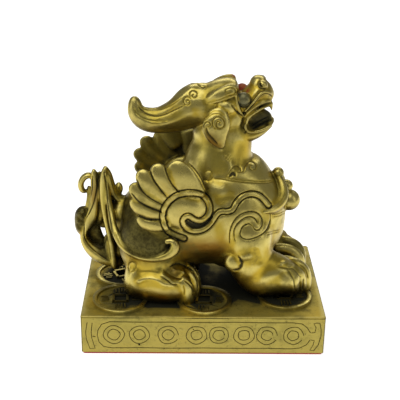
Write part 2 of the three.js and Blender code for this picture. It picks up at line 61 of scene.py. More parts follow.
# How far out the two rings of a rounded end lie and how wide they are, as shares
END_RINGS = [(0.75, 0.66), (1, 0.25)]
PLINTH_CORNER = 0.0012
PLINTH_BEVEL = 0.0006
PLINTH_CUTS = 36
ENGRAVED_FROM = 0.00026  # deeper than this below a wall's plane is a groove
PLINTH_DIP = 0.00012  # how far its faces sink here and there
# The engraved circles' radii with their wobble, and their height
CIRCLE_RADII = [(0.0049, 0.05), (0.0028, 0.07)]
CIRCLE_HEIGHT = 0.0106
CIRCLE_POINTS = 36
# The border of the walls that have a plain one: its height, where its ends start and how far
# these swing out and back
BORDER_TOP, BORDER_FOOT = 0.0176, 0.0034
BORDER_INSET = 0.008
END_OUT, END_BACK = 0.0045, 0.004
# The upright arcs at such a wall's ends: how far in they start and how far they bow
END_ARCS = [(0.0032, 0.0007), (0.0056, 0.0015)]
ARC_FOOT, ARC_HEIGHT = 0.0028, 0.0142
GROOVE_RADIUS = 0.00028
# Casting pits in the plinth: x, y, z and radius, in millimetres
PITS = [
    (-30.1, -38, 5.2, 0.55), (-4.6, -38, 13.7, 0.35), (9.9, -38, 10.9, 0.35), (-52, 38, 9, 0.4),
    (21, 38, 4.6, 0.45), (57.5, 12, 14.4, 0.4), (-57.5, -19, 6.8, 0.45), (-47, -33, 20.3, 0.35),
    (26, -31, 20.3, 0.3),
]
COIN_RADIUS = 0.01325
COIN_RIM_WIDTH = 0.0023
COIN_RIM_RISE = 0.0016
COIN_FIELD_RISE = 0.0008
COIN_ROOT = 0.0008
COIN_HOLE = 0.0056
COIN_HOLE_DEPTH = 0.001
COIN_FRAME_WIDTH = 0.0011
COIN_FRAME_RISE = 0.0009
RIM_ROUNDING = 0.00035
RIM_SWELL = 0.0002
RIM_SLOPE = 0.0004
MARK_ROOT = 0.0002
MARK_RISE = 0.0007
MARK_WIDTH = 0.0006
MARK_SPACING = 0.0014
MARK_FROM_FRAME = 0.0034
COINS = [(-37.4, -21.2), (-38, 2.6), (0.4, -22), (37.2, -17.5), (37.2, 18.9)]  # in units
COIN_TURNS = [0.06, 0.4, -0.05, 0.02, 0.3]
# How hollows are felt out: rays from each point, and how far near and far ones reach
RAYS = 16
RAY_LIFT = 0.0001
NEAR_REACH = 0.0022
FAR_REACH = 0.03
SIGHT_LIFT = 0.0006
FLESH_NEARNESS = 0.0009
FIELD_SLACK = 0.0003
INNER_FROM = 8  # in units from the middle plane
FULL_BUMP = 0.1  # in millimetres

# The camera's place in the photograph
EYE = Vector((-0.0110, -0.4254, 0.2513))
PITCH, YAW, ROLL = math.radians(23.83), math.radians(1.24), math.radians(0.99)
LENS = 86.4
SENSOR = 36
PICTURE_MIDDLE = 200
FOCAL_PIXELS = LENS / SENSOR * 2 * PICTURE_MIDDLE


# Working with objects

def deselect():
    bpy.ops.object.select_all(action="DESELECT")


def take(*objects):
    """Selects these objects alone and makes the first one active."""
    deselect()
    for obj in objects:
        obj.select_set(True)
    bpy.context.view_layer.objects.active = objects[0]
    return objects[0]


def finish_with(obj, kind, **settings):
    """Adds a modifier and applies it."""
    take(obj)
    modifier = obj.modifiers.new(kind.title(), kind)
    for name, value in settings.items():
        setattr(modifier, name, value)
    bpy.ops.object.modifier_apply(modifier=modifier.name)
    return obj


def joined(objects, name):
    whole = take(*objects)
    if len(objects) > 1:
        bpy.ops.object.join()
    whole.name = name
    return whole


def settle(obj):
    """Puts the object's place into its mesh."""
    take(obj)
    bpy.ops.object.transform_apply(location=True, rotation=True, scale=True)
    return obj


def cut(obj, tool, operation="DIFFERENCE"):
    finish_with(obj, "BOOLEAN", operation=operation, object=tool, solver="MANIFOLD")
    bpy.data.objects.remove(tool)
    return obj


def place(x, y, z):
    """A place given in units, in metres."""
    return Vector((x * UNIT, y * UNIT, PLINTH_TOP + z * UNIT))


# Round forms

def smooth_rows(rows, steps):
    """Rows of numbers with a smooth run of `steps` between each two."""
    points = np.array(rows, float)
    before = np.vstack([2 * points[0] - points[1], points, 2 * points[-1] - points[-2]])
    out = []
    for i in range(len(points) - 1):
        a, b, c, d = before[i:i + 4]
        for k in range(steps):
            t = k / steps
            out.append(0.5 * (2 * b + (c - a) * t + (2 * a - 5 * b + 4 * c - d) * t * t
                              + (3 * b - a - 3 * c + d) * t ** 3))
    return np.array(out + [points[-1]])


def unselected(mesh):
    """The shape that is being edited, with nothing of it selected."""
    shape = bmesh.from_edit_mesh(mesh)
    for part in (*shape.faces, *shape.edges, *shape.verts):
        part.select = False
    return shape


def choose(mesh, first, last):
    """Selects the points from `first` up to `last` in edit mode."""
    shape = unselected(mesh)
    shape.verts.ensure_lookup_table()
    for point in shape.verts[first:last]:
        point.select = True
    shape.select_flush(True)
    bmesh.update_edit_mesh(mesh)


def form(stations, sides=12, steps=3, across=(0, 1, 0), bulge=(0.6, 0.6)):
    """A closed round form through stations of x, y, z, half width across and half height."""
    rows = smooth_rows(stations, steps)
    rows[:, 3:] = np.maximum(rows[:, 3:], LEAST_RADIUS)
    across = Vector(across)
    rings = []
    for i, row in enumerate(rows):
        ahead = rows[min(i + 1, len(rows) - 1)][:3]
        behind = rows[max(i - 1, 0)][:3]
        along = Vector(ahead - behind).normalized()
        wide = (across - along * across.dot(along)).normalized()
        turn = Matrix((wide, along.cross(wide), along)).transposed()
        rings.append((place(*row[:3]), turn, along, row[3], row[4]))

    def cap(ring, share, towards):
        centre, turn, along, width, height = ring
        reach = share * min(width, height) * UNIT
        return [
            (centre + along * towards * reach * out, turn, along, width * narrow, height * narrow)
            for out, narrow in END_RINGS
        ]

    rings = cap(rings[0], bulge[0], -1)[::-1] + rings + cap(rings[-1], bulge[1], 1)
    deselect()
    bpy.ops.object.add(type="MESH")
    obj = bpy.context.object
    bpy.ops.object.mode_set(mode="EDIT")
    for k, (centre, turn, _, width, height) in enumerate(rings):
        bpy.ops.mesh.select_all(action="DESELECT")
        bpy.ops.mesh.primitive_circle_add(
            vertices=sides, radius=UNIT * SCALE_OF_SUBDIVISION, location=centre,
            rotation=turn.to_euler())
        bpy.ops.transform.resize(
            value=(width, height, 1), orient_type="GLOBAL", orient_matrix=turn,
            orient_matrix_type="GLOBAL", center_override=centre)
        if k:
            choose(obj.data, (k - 1) * sides, (k + 1) * sides)
            bpy.ops.mesh.bridge_edge_loops()
    for first in (0, (len(rings) - 1) * sides):
        choose(obj.data, first, first + sides)
        bpy.ops.mesh.edge_face_add()
    bpy.ops.mesh.select_all(action="SELECT")
    bpy.ops.mesh.normals_make_consistent(inside=False)
    bpy.ops.object.mode_set(mode="OBJECT")
    return finish_with(obj, "SUBSURF", levels=1)


def ball(centre, halves):
    """An egg at x, y, z with its three half axes."""
    deselect()
    bpy.ops.mesh.primitive_ico_sphere_add(subdivisions=4, radius=UNIT, location=place(*centre))
    bpy.ops.transform.resize(value=halves)
    return settle(bpy.context.object)


def tooth(root, tip, radius):
    start, end = place(*root), place(*tip)
    along = end - start
    deselect()
    bpy.ops.mesh.primitive_cone_add(
        vertices=16, radius1=radius * UNIT, radius2=0.25 * radius * UNIT, depth=along.length,
        location=(start + end) / 2, rotation=along.to_track_quat("Z", "Y").to_euler())
    return settle(bpy.context.object)


# Body

def flesh():
    chest_and_neck = [
        [6, 0, 12, 8, 9], [8, 0, 16, 15, 18], [9, 0, 24, 20, 26.5], [9.5, 0, 34, 22.5, 28],
        [9, 0, 43, 22.5, 27.5], [8.2, 0, 51, 20, 23], [7.4, 0, 57, 17, 19.8], [6.8, 0, 63, 14, 15],
        [8, 0, 69, 12, 13], [7.5, 0, 75, 11.2, 13.2], [6.5, 0, 81, 10, 11],
    ]
    belly_and_rump = [
        [-37.5, 0, 26, 8, 8], [-34, 0, 26.5, 15, 14.5], [-27, 0, 28, 20, 19], [-17, 0, 30.5, 22, 21.5],
        [-7, 0, 33.5, 23, 23], [5, 0, 35.5, 23, 24.5], [14, 0, 37, 19, 22],
    ]
    fore_leg = [
        [19, 15, 38, 7, 9], [19.5, 16, 30, 8.5, 11], [20.5, 16, 23, 8.6, 9.8],
        [21.2, 15.6, 16, 8.8, 10.2], [24.6, 13.8, 9, 6.8, 8.6], [28.6, 12, 2, 3.8, 6.4],
    ]
    fore_paw = [
        [17, 15, 12.5, 6.5, 7.6], [24, 15.3, 12, 8.7, 11.5], [31, 14.8, 10.8, 9.3, 10.8],
        [37, 14.2, 9.4, 9, 8.6], [41.6, 13.4, 8, 7.8, 6.4],
    ]
    hind_paw = [
        [-32.6, 17, 11, 7.8, 10.2], [-24, 17.6, 9.5, 9, 11.5], [-17, 18, 8.5, 9.8, 11],
        [-11.5, 18, 7, 9.4, 9.2], [-8.5, 18, 5.5, 8.2, 7],
    ]
    paired = [
        form(fore_leg, bulge=(0.4, 0.1)),
        form(fore_paw, bulge=(0.4, 0.3)),
        form(hind_paw, bulge=(0.4, 0.3)),
        ball([-23.5, 13, 25], [14.8, 11.8, 17.8]),
    ]
    single = [
        form(chest_and_neck, sides=16, bulge=(0.3, 0.3)),
        form(belly_and_rump, sides=16, bulge=(0.4, 0.3)),
    ]
    return paired, single


# Head

def skull():
    cranium = [
        [-3.5, 0, 84, 6, 8], [1, 0, 85, 9, 10.4], [6, 0, 85.8, 10, 11.8], [11, 0, 86.4, 10, 12.2],
        [13.4, 0, 86.4, 9.2, 10.6],
    ]
    snout = [
        [11, 0, 86, 9, 6], [16, 0, 87.2, 8.4, 4.4], [20, 0, 90, 7.5, 5], [23.6, 0, 92.4, 6.9, 6],
        [26.2, 0, 91.4, 5.5, 4.8], [27.8, 0, 90.6, 3.6, 3.6],
    ]
    lower_jaw = [
        [8, 0, 77.5, 9.5, 7.5], [14, 0, 75.8, 9, 6.2], [19, 0, 74.4, 7.8, 4.8], [24, 0, 75.5, 6.6, 3],
        [27.6, 0, 77.4, 5, 1.8], [29.2, 0, 77.8, 3.4, 1.3],
    ]
    throat_web = [
        [12, 0, 82, 6, 5], [18, 0, 82, 5.4, 5], [23, 0, 81.2, 4.6, 4.6], [27, 0, 80.6, 3.6, 3.2],
        [28.8, 0, 80.2, 2.4, 2],
    ]
    cheek = [
        [3, 5, 80, 6, 6], [9, 5.4, 82, 6, 6.4], [14.6, 5, 82.4, 4.6, 5.4],
    ]
    brow = [
        [-4, 3.4, 88, 0.8, 1.2], [0, 6.2, 89.8, 1.6, 2], [4.6, 8, 92.8, 2.2, 2.8],
        [8.8, 7.8, 95, 2.6, 2.8], [12, 6.6, 96, 2.6, 2.6],
    ]
    upper_lip = [
        [14, 0, 86, 8, 3.4], [20, 0, 88, 7.6, 3.2], [24, 0, 89.4, 6.6, 2.8], [27, 0, 89.6, 4.6, 2.6],
        [28.4, 0, 89.4, 2.6, 2],
    ]
    paired = [form(cheek, bulge=(0.4, 0.4)), form(brow, bulge=(0.4, 0.6))]
    single = [
        form(upper_lip, bulge=(0.3, 0.3)),
        form(cranium, sides=16, bulge=(0.3, 0.15)),
        form(snout, bulge=(0.3, 0.5)),
        form(lower_jaw, bulge=(0.3, 0.5)),
        form(throat_web, bulge=(0.2, 0.3)),
        ball([22.8, 0, 96.2], [3.9, 5.2, 3.8]),
    ]
    return paired, single


def face():
    brow_edge = [
        [0.6, 8, 88.8, 0.5, 0.5], [2.8, 8.8, 90.2, 0.7, 0.6], [5, 9.4, 91.4, 0.9, 0.8],
        [9.6, 9.4, 93, 0.9, 0.8], [12.4, 9, 94, 1.1, 1], [13.2, 9, 92, 0.9, 0.8],
        [13.5, 8.9, 89, 0.7, 0.7], [14.8, 8.9, 86, 0.7, 0.7], [16.4, 8.6, 83.8, 0.5, 0.5],
    ]
    lip_fold = [
        [16.8, 8.2, 86, 0.7, 0.8], [18.6, 8.2, 88.2, 0.9, 1.1], [21.2, 7.8, 91, 1, 1.2],
        [23.2, 7.2, 93.4, 1.1, 1.2], [25.2, 6, 94, 1.1, 1.2], [27.2, 4, 93, 1.1, 1.2],
        [28.2, 1.4, 92, 1.1, 1.2], [28.2, -0.5, 92, 1.1, 1.2],
    ]
    lip_band = [
        [17, 8.2, 83.4, 0.8, 0.8], [19, 8, 86.2, 0.9, 1], [22, 7.4, 88.8, 1, 1.2],
        [25, 5.8, 90, 1, 1.3], [27.4, 3.4, 89.6, 1, 1.3], [28.4, -0.5, 89.4, 1, 1.3],
    ]
    lip_rim = [
        [17.6, 8.4, 80.6, 0.6, 0.6], [18.2, 8.4, 82.9, 0.7, 0.7], [19.8, 8.1, 84.7, 0.7, 0.7],
        [22.4, 7.3, 86.2, 0.7, 0.7], [24.4, 6, 87, 0.7, 0.7], [26.4, 4.2, 87.2, 0.7, 0.7],
        [28.2, 2, 87.4, 0.7, 0.7], [28.6, -0.5, 87.4, 0.7, 0.7],
    ]
    jaw_rim = [
        [17, 8.6, 80.4, 0.7, 0.7], [17.6, 8.6, 77.8, 0.8, 0.8], [20, 8.2, 76.6, 0.8, 0.8],
        [24.4, 7.2, 77.2, 0.8, 0.8], [27.8, 5.4, 78.6, 0.8, 0.8], [29.4, 2.6, 79.6, 0.8, 0.8],
        [29.8, -0.5, 80, 0.8, 0.8],
    ]
    paired = [
        form(rim, sides=8, bulge=(0.3, 0.3), across=(1, 0, 0.3))
        for rim in (brow_edge, lip_fold, lip_band, lip_rim, jaw_rim)
    ] + [
        ball([16.2, 6.6, 91.2], [2.9, 2.9, 3]),
        ball([8.2, 8.4, 87.8], [4.6, 3, 3.7]),
        ball([24.2, 4, 96.6], [2.4, 2.4, 2.3]),
        tooth([28.2, 3, 88.6], [28.9, 3, 85], 1.2),
        tooth([27.4, 4, 78], [28.2, 3.8, 82.4], 0.8),
    ]
    tongue = [
        [15, 0, 77.6, 3.6, 1.4], [21, 0, 78.9, 3.8, 1.4], [26, 0, 80.2, 3.4, 1.2],
        [28.6, 0, 81.4, 2, 0.9],
    ]
    return paired, [form(tongue, sides=8, bulge=(0.2, 0.4))]


def ear():
    leaf = [
        [4, 11, 87.6, 3.2, 1.6], [4.8, 12.4, 84.4, 5.5, 2.4], [4.5, 13.4, 80, 5.7, 2.4],
        [5.4, 13.8, 75.6, 4, 1.7], [7.4, 13.6, 71.6, 1.1, 0.7],
    ]
    return [form(leaf, across=(1, 0, 0), bulge=(0.5, 0.4))]


def horn():
    centreline = [
        [-31, 0, 87.2, 3, 2.9], [-30.2, 0, 82.6, 4.2, 4.1], [-26.6, 0, 79.4, 5, 5.2],
        [-21.6, 0, 78.6, 5.6, 5.6], [-16.5, 0, 79.6, 6.2, 6.5], [-11, 0, 82, 6.8, 8],
        [-5, 0, 85.5, 8.2, 10.2], [1, 0, 86, 9, 10], [6, 0, 86, 8.6, 9.2],
    ]
    return [form(centreline, bulge=(0.9, 0.3))]


# Wings

# Each feather's stations from root to tip: x, z and half width, seen from the side
FEATHERS = [
    [[-4.2, 50.4, 5.4], [-7.8, 56.5, 6.2], [-10.6, 61.6, 6], [-13.4, 65.6, 4.2]],
    [[-9.6, 50.4, 3.6], [-14.8, 55, 4.2], [-19, 60.4, 4.4], [-20.6, 64.6, 3.5]],
    [[-13, 48.6, 3.1], [-19, 52.6, 3.7], [-24.8, 57.8, 4.1], [-27.2, 61.8, 3.4]],
    [[-15, 45.8, 2.9], [-21.8, 48.6, 3.4], [-27.6, 52.4, 3.8], [-30.6, 55.6, 3.2]],
    [[-16.2, 42, 2.8], [-22.5, 43.8, 3.3], [-27.6, 46.2, 3.6], [-30.4, 49, 3]],
    [[-15.4, 38, 2.7], [-20.5, 37.8, 3.2], [-25, 38.9, 3.4], [-27.6, 40.8, 2.8]],
]
FEATHER_THICKNESS = [2.6, 2.4, 2, 1.4]
FEATHER_OUTSET = [20.5, 21.6, 21.8, 21]


def wing():
    parts = [ball([-8.6, 18.6, 44.5], [11.2, 6.2, 11])]
    for feather in FEATHERS:
        stations = [
            [x, outset, z, thickness, width]
            for (x, z, width), outset, thickness in zip(feather, FEATHER_OUTSET, FEATHER_THICKNESS)
        ]
        parts.append(form(stations, bulge=(0.2, 1.5)))
    return parts


# Tail

KNOT_LUMPS = [
    (-55.4, 34.4), (-57.1, 32.8), (-55.8, 31), (-57.4, 29.2), (-56, 27.2), (-57.2, 25.2), (-55.6, 23.6),
]


def tail():
    tall = [
        [-44.4, -1, 56.4, 1.4, 1], [-45.2, -1, 53.6, 2, 1.6], [-45.6, -1, 48, 2.4, 1.9],
        [-45.4, -1, 40, 2.6, 2], [-44.4, -2, 31.5, 2.6, 1.7], [-43, -3, 24.6, 2.6, 1.6],
        [-41.6, -4, 17, 2.6, 1.8], [-40.8, -4, 8, 2.6, 2],
    ]
    arch = [
        [-44.8, 0, 56.4, 1.4, 1], [-43.4, 0, 53.4, 2, 1.7], [-42, 0, 48.4, 2.4, 1.7],
        [-40.6, 0, 43.6, 2.8, 1.8], [-38, 0, 41, 3.4, 1.9], [-35.4, 0, 40.4, 4, 1.8],
        [-32, 0, 42, 4, 1.8],
    ]
    outer = [
        [-49.9, 1, 54.6, 1.2, 0.9], [-49.6, 1, 52, 1.8, 1.8], [-49.4, 1, 46.6, 2.4, 2.2],
        [-49.6, 1, 40.6, 2.6, 2.3], [-50.6, 1, 34.4, 2.8, 2.9], [-52, 1, 29.6, 2.8, 3],
        [-54.4, 1, 25.4, 2.6, 2.2], [-55.4, 1, 21.4, 2.8, 1.9], [-53.4, 0, 17.2, 3.4, 2.8],
        [-49, -1, 13.6, 4, 3.8], [-44, -2, 11, 4, 3.4], [-38, -2, 9.6, 3.4, 2.6],
    ]
    inner_fold = [
        [-47.4, 2, 53, 1.2, 1], [-47.4, 2, 46, 1.8, 1.6], [-47.2, 2, 38, 2, 1.8],
        [-47.4, 2, 31, 2, 2.4], [-49.6, 3, 28, 1.8, 2.6],
    ]
    cavity_back = [
        [-51, 4.6, 29, 1.4, 3.2], [-51.4, 4.8, 23.6, 1.4, 4], [-50, 4.6, 17.6, 1.6, 4.6],
        [-46.4, 3.6, 13, 1.8, 4.4],
    ]
    upper_back = [
        [-47, 3, 52, 1, 1.4], [-46.8, 3, 44, 1.2, 2], [-46.4, 3, 36, 1.2, 2.2],
        [-46.2, 3, 30, 1.2, 2.4], [-46.6, 3, 25.6, 1.2, 2.6],
    ]
    leaf_back = [
        [-44.6, 0.8, 22, 1, 1.2], [-44.4, 0.4, 18, 1.2, 2.4], [-43.6, 0, 12.6, 1.2, 2.4],
    ]
    arch_back = [
        [-43, 1.4, 52, 1, 1.2], [-42.6, 1.4, 46, 1.2, 2.4], [-41.6, 1.4, 40.6, 1.4, 3.2],
    ]
    lock_back = [
        [-43, 1.4, 40, 1, 1.2], [-42, 1.4, 30, 1.2, 2], [-40.8, 1, 21, 1.4, 2.6],
        [-40, 0, 12, 1.4, 2.6],
    ]
    leaf = [
        [-43.4, -3.6, 23.6, 0.7, 0.6], [-43.9, -3.8, 18.6, 0.9, 1.7], [-43.2, -4, 13.6, 0.9, 1.5],
        [-41.6, -4, 9.4, 0.8, 0.7],
    ]
    hook = [
        [-50, 2, 50.6, 1.8, 1], [-52, 2, 51.6, 2, 1.4], [-54.4, 2, 50.6, 2.2, 1.5],
        [-56, 2, 47.6, 2.2, 1.5], [-55.6, 2, 44.6, 2, 1.4], [-54.2, 2, 43.4, 1.4, 0.9],
    ]
    side_fold = [
        [-52.4, 2.6, 45.6, 1.2, 1], [-52.4, 2.6, 40, 1.6, 1.4], [-53.2, 2.6, 35.6, 1.8, 1.5],
    ]
    knot = [
        [-54.4, 3, 34, 2.4, 2], [-56.6, 3, 32.6, 3, 2.6], [-57, 3, 28.4, 3.2, 2.8],
        [-57, 3, 24.6, 2.8, 2.4], [-56, 3, 21.8, 2, 1.6],
    ]
    foot = [
        [-33, 0, 18, 4, 5], [-40.6, -2, 15, 3.4, 4], [-46, -1, 14, 3, 3],
    ]
    thin = (inner_fold, cavity_back, upper_back, leaf_back, arch_back, lock_back, leaf)
    return [
        form(tall, sides=10, bulge=(0.5, 0.2)),
        form(arch, sides=10, bulge=(0.5, 0.3)),
        form(outer, sides=10, bulge=(0.5, 0.4)),
        *(form(fold, sides=8) for fold in thin),
        form(hook, sides=10, bulge=(0.4, 0.6)),
        form(side_fold, sides=8),
        form(knot, sides=10),
        form(foot, sides=10),
        ball([-38.8, 2.6, 45], [1.9, 2.2, 3]),
        ball([-37, 0, 33], [5.6, 8, 8.6]),
        *(ball([x, 0.4, z], [1.2, 0.9, 1.2]) for x, z in KNOT_LUMPS),
    ]


def locks():
    """The lock that sweeps from the tail round the haunch, and the crescent beside the beads."""
    haunch_lock = [
        [-45, 0.8, 55.6, 0.8, 0.8], [-44.2, 1.8, 49, 1.1, 1.2], [-43.2, 3, 43, 1.2, 1.3],
        [-42, 6, 37, 1.4, 1.6], [-40.4, 11, 31.4, 1.6, 1.8], [-36.4, 18.5, 26.6, 1.7, 1.8],
        [-30.4, 22.4, 23.8, 1.7, 1.7], [-23.6, 24, 23, 1.8, 1.7], [-17, 24.4, 24.2, 2, 2],
        [-13, 24.6, 27.6, 2.2, 2.6], [-13.4, 24.4, 31.4, 2, 1.8], [-16.8, 24, 31.6, 1.4, 1.2],
    ]
    crescent = [
        [33.4, 1.6, 53.4, 1.4, 1.4], [35, 4.4, 50.2, 2, 2.2], [35.4, 7.8, 46.4, 2.2, 2.6],
        [33.2, 11.6, 43.9, 2, 2.4], [30, 15.2, 43, 1.6, 1.8], [26, 18, 43, 0.7, 0.6],
    ]
    return [
        form(haunch_lock, sides=10, bulge=(0.3, 0.6)),
        form(crescent, sides=10, bulge=(0.4, 0.4)),
    ]


def beads():
    return [
        ball([33.4, 0, 54.4], [2.7, 2.7, 2.7]),
        ball([37.5, 0, 48.2], [3, 3, 2.9]),
        ball([39, 0, 41.2], [5.1, 5.1, 4.9]),
    ]


def toes():
    """Each toe's place across, its tip, its lift, its size and how far it is tucked under."""
    fore = [
        [20.2, 41.6, 0.8, 1.35, 7], [15.4, 45.8, 2.2, 1.12, 3], [10.8, 48.6, 2.6, 1.05, 0],
        [6.2, 47.8, 1.2, 1, 0],
    ]
    hind = [
        [23.4, -5.8, 0.2, 1.25, 0], [18.6, -3.2, 1.2, 1.1, 0], [13.8, -2.4, 1.2, 1.05, 0],
        [9.4, -3, 0.4, 1, 0],
    ]
    parts = []
    for rows, reach in ((fore, 14), (hind, 12)):
        for y, x, lift, size, tuck in rows:
            parts.append(form([
                [x - reach, y, 11.4 + lift, 2.4 * size, 3 * size],
                [x - reach * 0.66, y, 11 + lift, 2.6 * size, 3.6 * size],
                [x - reach * 0.34, y, 9 + lift, 2.8 * size, 3.9 * size],
                [x - 1.6 * size, y - tuck * 0.35, 5 + lift, 2.7 * size, 3.3 * size],
                [x - 1.4 * size, y - tuck, -1, 2.5 * size - tuck * 0.16, 2.9 * size],
            ], sides=10, bulge=(0.2, 0.3)))
    parts.append(ball([14.2, 19.8, 19.2], [5.2, 3.6, 5.4]))
    return parts


def mirrored(parts, name):
    whole = joined(parts, name)
    return finish_with(whole, "MIRROR", use_axis=(False, True, False), use_mirror_merge=False)


def remeshed(obj, voxel, rounds):
    finish_with(obj, "REMESH", mode="VOXEL", voxel_size=voxel)
    return finish_with(obj, "SMOOTH", factor=0.5, iterations=rounds)


# Carved lines: places read on the side that the camera sees, in pixels from the picture's
# upper left corner. Both flanks carry them.

WING_BAND = [
    (184, 238.7), (175, 235.6), (167.1, 230.2), (162.9, 219), (164.2, 209), (170.6, 200), (180, 194.4),
    (192, 193), (202.4, 195.2), (208.4, 202), (209.8, 211), (206.2, 218), (199.6, 221.4),
    (193.6, 219.4), (189, 216.4), (184.8, 217.6), (182.8, 222.4), (185.9, 228), (193, 231),
    (201, 230.4), (208, 226.2), (213, 220), (217, 214.2), (221.6, 211.6), (228, 211.6), (232.6, 209.6),
    (236.2, 203.6), (242, 197), (250, 194), (258, 195), (264, 199.4), (268.6, 205),
]
WING_PIT = [(186.6, 221.6), (190.6, 225.4), (198.6, 226.6), (206.4, 223), (212, 217)]
SHOULDER_OUTER = [
    (229.6, 243), (230.2, 231), (234, 221.4), (240.4, 214.9), (248.6, 211.8), (256.6, 212.6),
    (261.6, 217.6), (262.4, 224.6), (260.2, 228.8), (257, 230.2), (254.4, 228.6), (253.1, 226.4),
]
SHOULDER_INNER = [
    (235, 241), (233.9, 232.2), (236.8, 225), (243.6, 218.8), (250.6, 216.8), (255.8, 219.4),
    (258, 223.6),
]
SHOULDER_CURL = [
    (253.1, 226.4), (249, 223.9), (243.4, 226.4), (240.4, 231.6), (240.4, 236), (244.2, 239),
    (251, 239.2), (260.6, 235.2), (266.6, 230), (270.2, 222), (270.4, 214.5),
]
COLLAR_LINE = [
    (212.6, 178.8), (221, 179), (231.6, 181), (243, 182.2), (256, 182.8), (267, 182.8), (275, 181.4),
]
COLLAR_UPPER = [(226, 177.4), (235, 179), (249, 180.4), (262, 181), (272, 180.4)]
CURL_ONE = [
    (226.6, 177.4), (230, 171.4), (234, 166.4), (237.8, 165.4), (240.8, 168), (240.8, 171.4),
    (238.2, 172),
]
CURL_TWO = [
    (240, 172.4), (243.8, 170.8), (245.4, 166), (248.4, 162), (252.8, 161.8), (256, 165), (255.6, 169),
    (252, 170.2), (249.6, 167.6), (251, 165.2),
]
CURL_PIT = [(229.6, 176.6), (233, 173), (235.4, 175.6)]
NECK_CURL = [(202, 180), (206.6, 180.6), (210.4, 177.4), (211.4, 172.4), (208.4, 170.4), (206, 172)]
NECK_CURL_FOOT = [(207, 181.4), (211, 179.6), (213.4, 176.4)]
EAR_SPIRAL = [
    (215.4, 129), (212.8, 125.4), (213, 120.4), (216.4, 117.2), (221, 117.6), (224, 121), (224, 126),
    (220.6, 128.4), (217, 127.2), (216.2, 123.6), (218.2, 121.4), (220.6, 122.8),
]
EAR_CURL = [(204.4, 128), (204.4, 124.4), (206.8, 122), (210, 123.2), (210, 126), (207.6, 126.2)]
EAR_ARCS = [
    [(206.4, 117.4), (210, 113.2), (214.6, 111), (220, 112), (224, 115)],
    [(205, 120.6), (208.6, 117), (213, 114.4), (218.4, 114), (222.4, 116)],
]
BROW_CURL = [
    (225, 94.6), (231.6, 95.2), (235.6, 92.4), (235, 89.2), (230.8, 88), (226.4, 89.2), (225.6, 91.8),
    (228.8, 92.8), (231, 91.4),
]
BROW_UNDER = [(205.4, 103.4), (212, 101.8), (218.4, 99.6), (226.4, 96.2), (232, 94.9), (237.4, 94.4)]
CHEEK_EDGE = [(230.6, 104.6), (234.6, 109.4), (239.4, 114), (243.6, 117)]
LIP_FOLD = [
    (245.2, 113), (249.4, 109.4), (255.6, 102.6), (260.4, 96.4), (264.6, 93.8), (269, 94.2),
    (272, 96.4),
]
LIP_LOWER_FOLD = [(244.6, 119.6), (248.2, 114.8), (255, 109.3), (262.1, 105.4), (268, 103.6), (272, 103)]
LIP_TOP_FOLD = [(244, 110.4), (247.6, 106.6), (252, 101.4), (256.6, 95.6), (260.4, 91.6), (265, 89.8)]
EYE_RIM = [(238.2, 91.6), (237.8, 97), (238.8, 103), (242.4, 107), (247, 106.6), (250, 103), (251, 98)]
NOSTRIL = [(260.6, 79.6), (258.2, 82), (257.6, 85), (259.4, 88), (263.4, 89), (267.6, 88)]
NOSTRIL_PIT = [(259.6, 82.6), (260.2, 85.6), (262.4, 86.8)]
JAW_NOTCH = [(244.4, 133.6), (246.4, 131)]
HORN_CREASE = [
    (138.6, 106.4), (142.6, 110.6), (149, 114.6), (157, 116), (165, 114.2), (173, 110.6), (180, 107.4),
    (184.6, 105),
]
HORN_LOW_CREASE = [(134, 108), (137, 113.4), (144, 118.4), (154, 121), (168, 121)]
HORN_CURL_UPPER = [
    (190.6, 97.6), (189.8, 93.6), (193, 90.8), (196.8, 92.4), (196.6, 96.6), (193.4, 97.8),
    (192.2, 95.4), (194, 94.2),
]
HORN_CURL_LOWER = [
    (191, 98.8), (187, 97), (183.8, 99.4), (184, 103.4), (187.4, 105.2), (190, 102.8), (188.4, 100.6),
    (186.6, 101.6),
]
HORN_RIDGE = [(140.6, 104.6), (146, 108.2), (154, 110.4), (163, 109.2), (172, 105), (182, 98.6)]
HORN_TOP_NOTCH = [(197.6, 84.4), (202.4, 87.4), (207, 86.2)]
NECK_STROKES = [
    [(223.6, 157.4), (226.6, 153)], [(225, 159), (228.6, 154)], [(226.6, 160.6), (230.4, 155.6)],
    [(228.6, 161.6), (232, 157.4)],
]
PLATE_LINES = [
    [(272.4, 214.4), (279, 213.4), (285, 210.6)], [(272.4, 216.8), (279, 215.8), (284.6, 213.2)],
    [(266.3, 232.4), (273, 231.2), (279.6, 229.8)], [(266.6, 234.6), (273, 233.4), (279, 232)],
]
DEW_CLAW = [(238.2, 256.8), (241.6, 260.6), (241.6, 266), (238, 269.8), (233.4, 270.4)]
DEW_CLAW_PIT = [(239.4, 259.4), (241.4, 263.4), (239.2, 267.6)]
HEEL_CURL = [
    (129.6, 270.4), (128, 266.4), (130.4, 262.8), (134.4, 262.8), (136.2, 266.6), (134, 270.6),
    (130.6, 271.8),
]
HIND_TOES = [
    [(184.5, 280.8), (189, 284), (192.4, 288), (194.8, 294)],
    [(170.3, 266.4), (176, 263.8), (183, 264.6), (191, 269.6), (197.2, 280), (198.4, 291)],
    [(187, 262), (194.6, 266), (198.6, 274)],
    [(162, 277), (168, 281), (172.4, 284.4), (178, 285)],
]
FORE_TOES = [
    [(277, 266.4), (284, 268), (289.3, 268.9), (292.4, 268.4), (296.4, 271.8), (300.4, 277)],
    [(287.6, 270), (291.4, 275.4), (294, 281), (294.6, 290)],
    [(300.7, 265), (306, 270.4), (308, 278)],
    [(303.6, 279), (302.4, 290)],
]
HIND_HOLLOW = [(167, 270), (172, 274), (178.6, 276.6)]
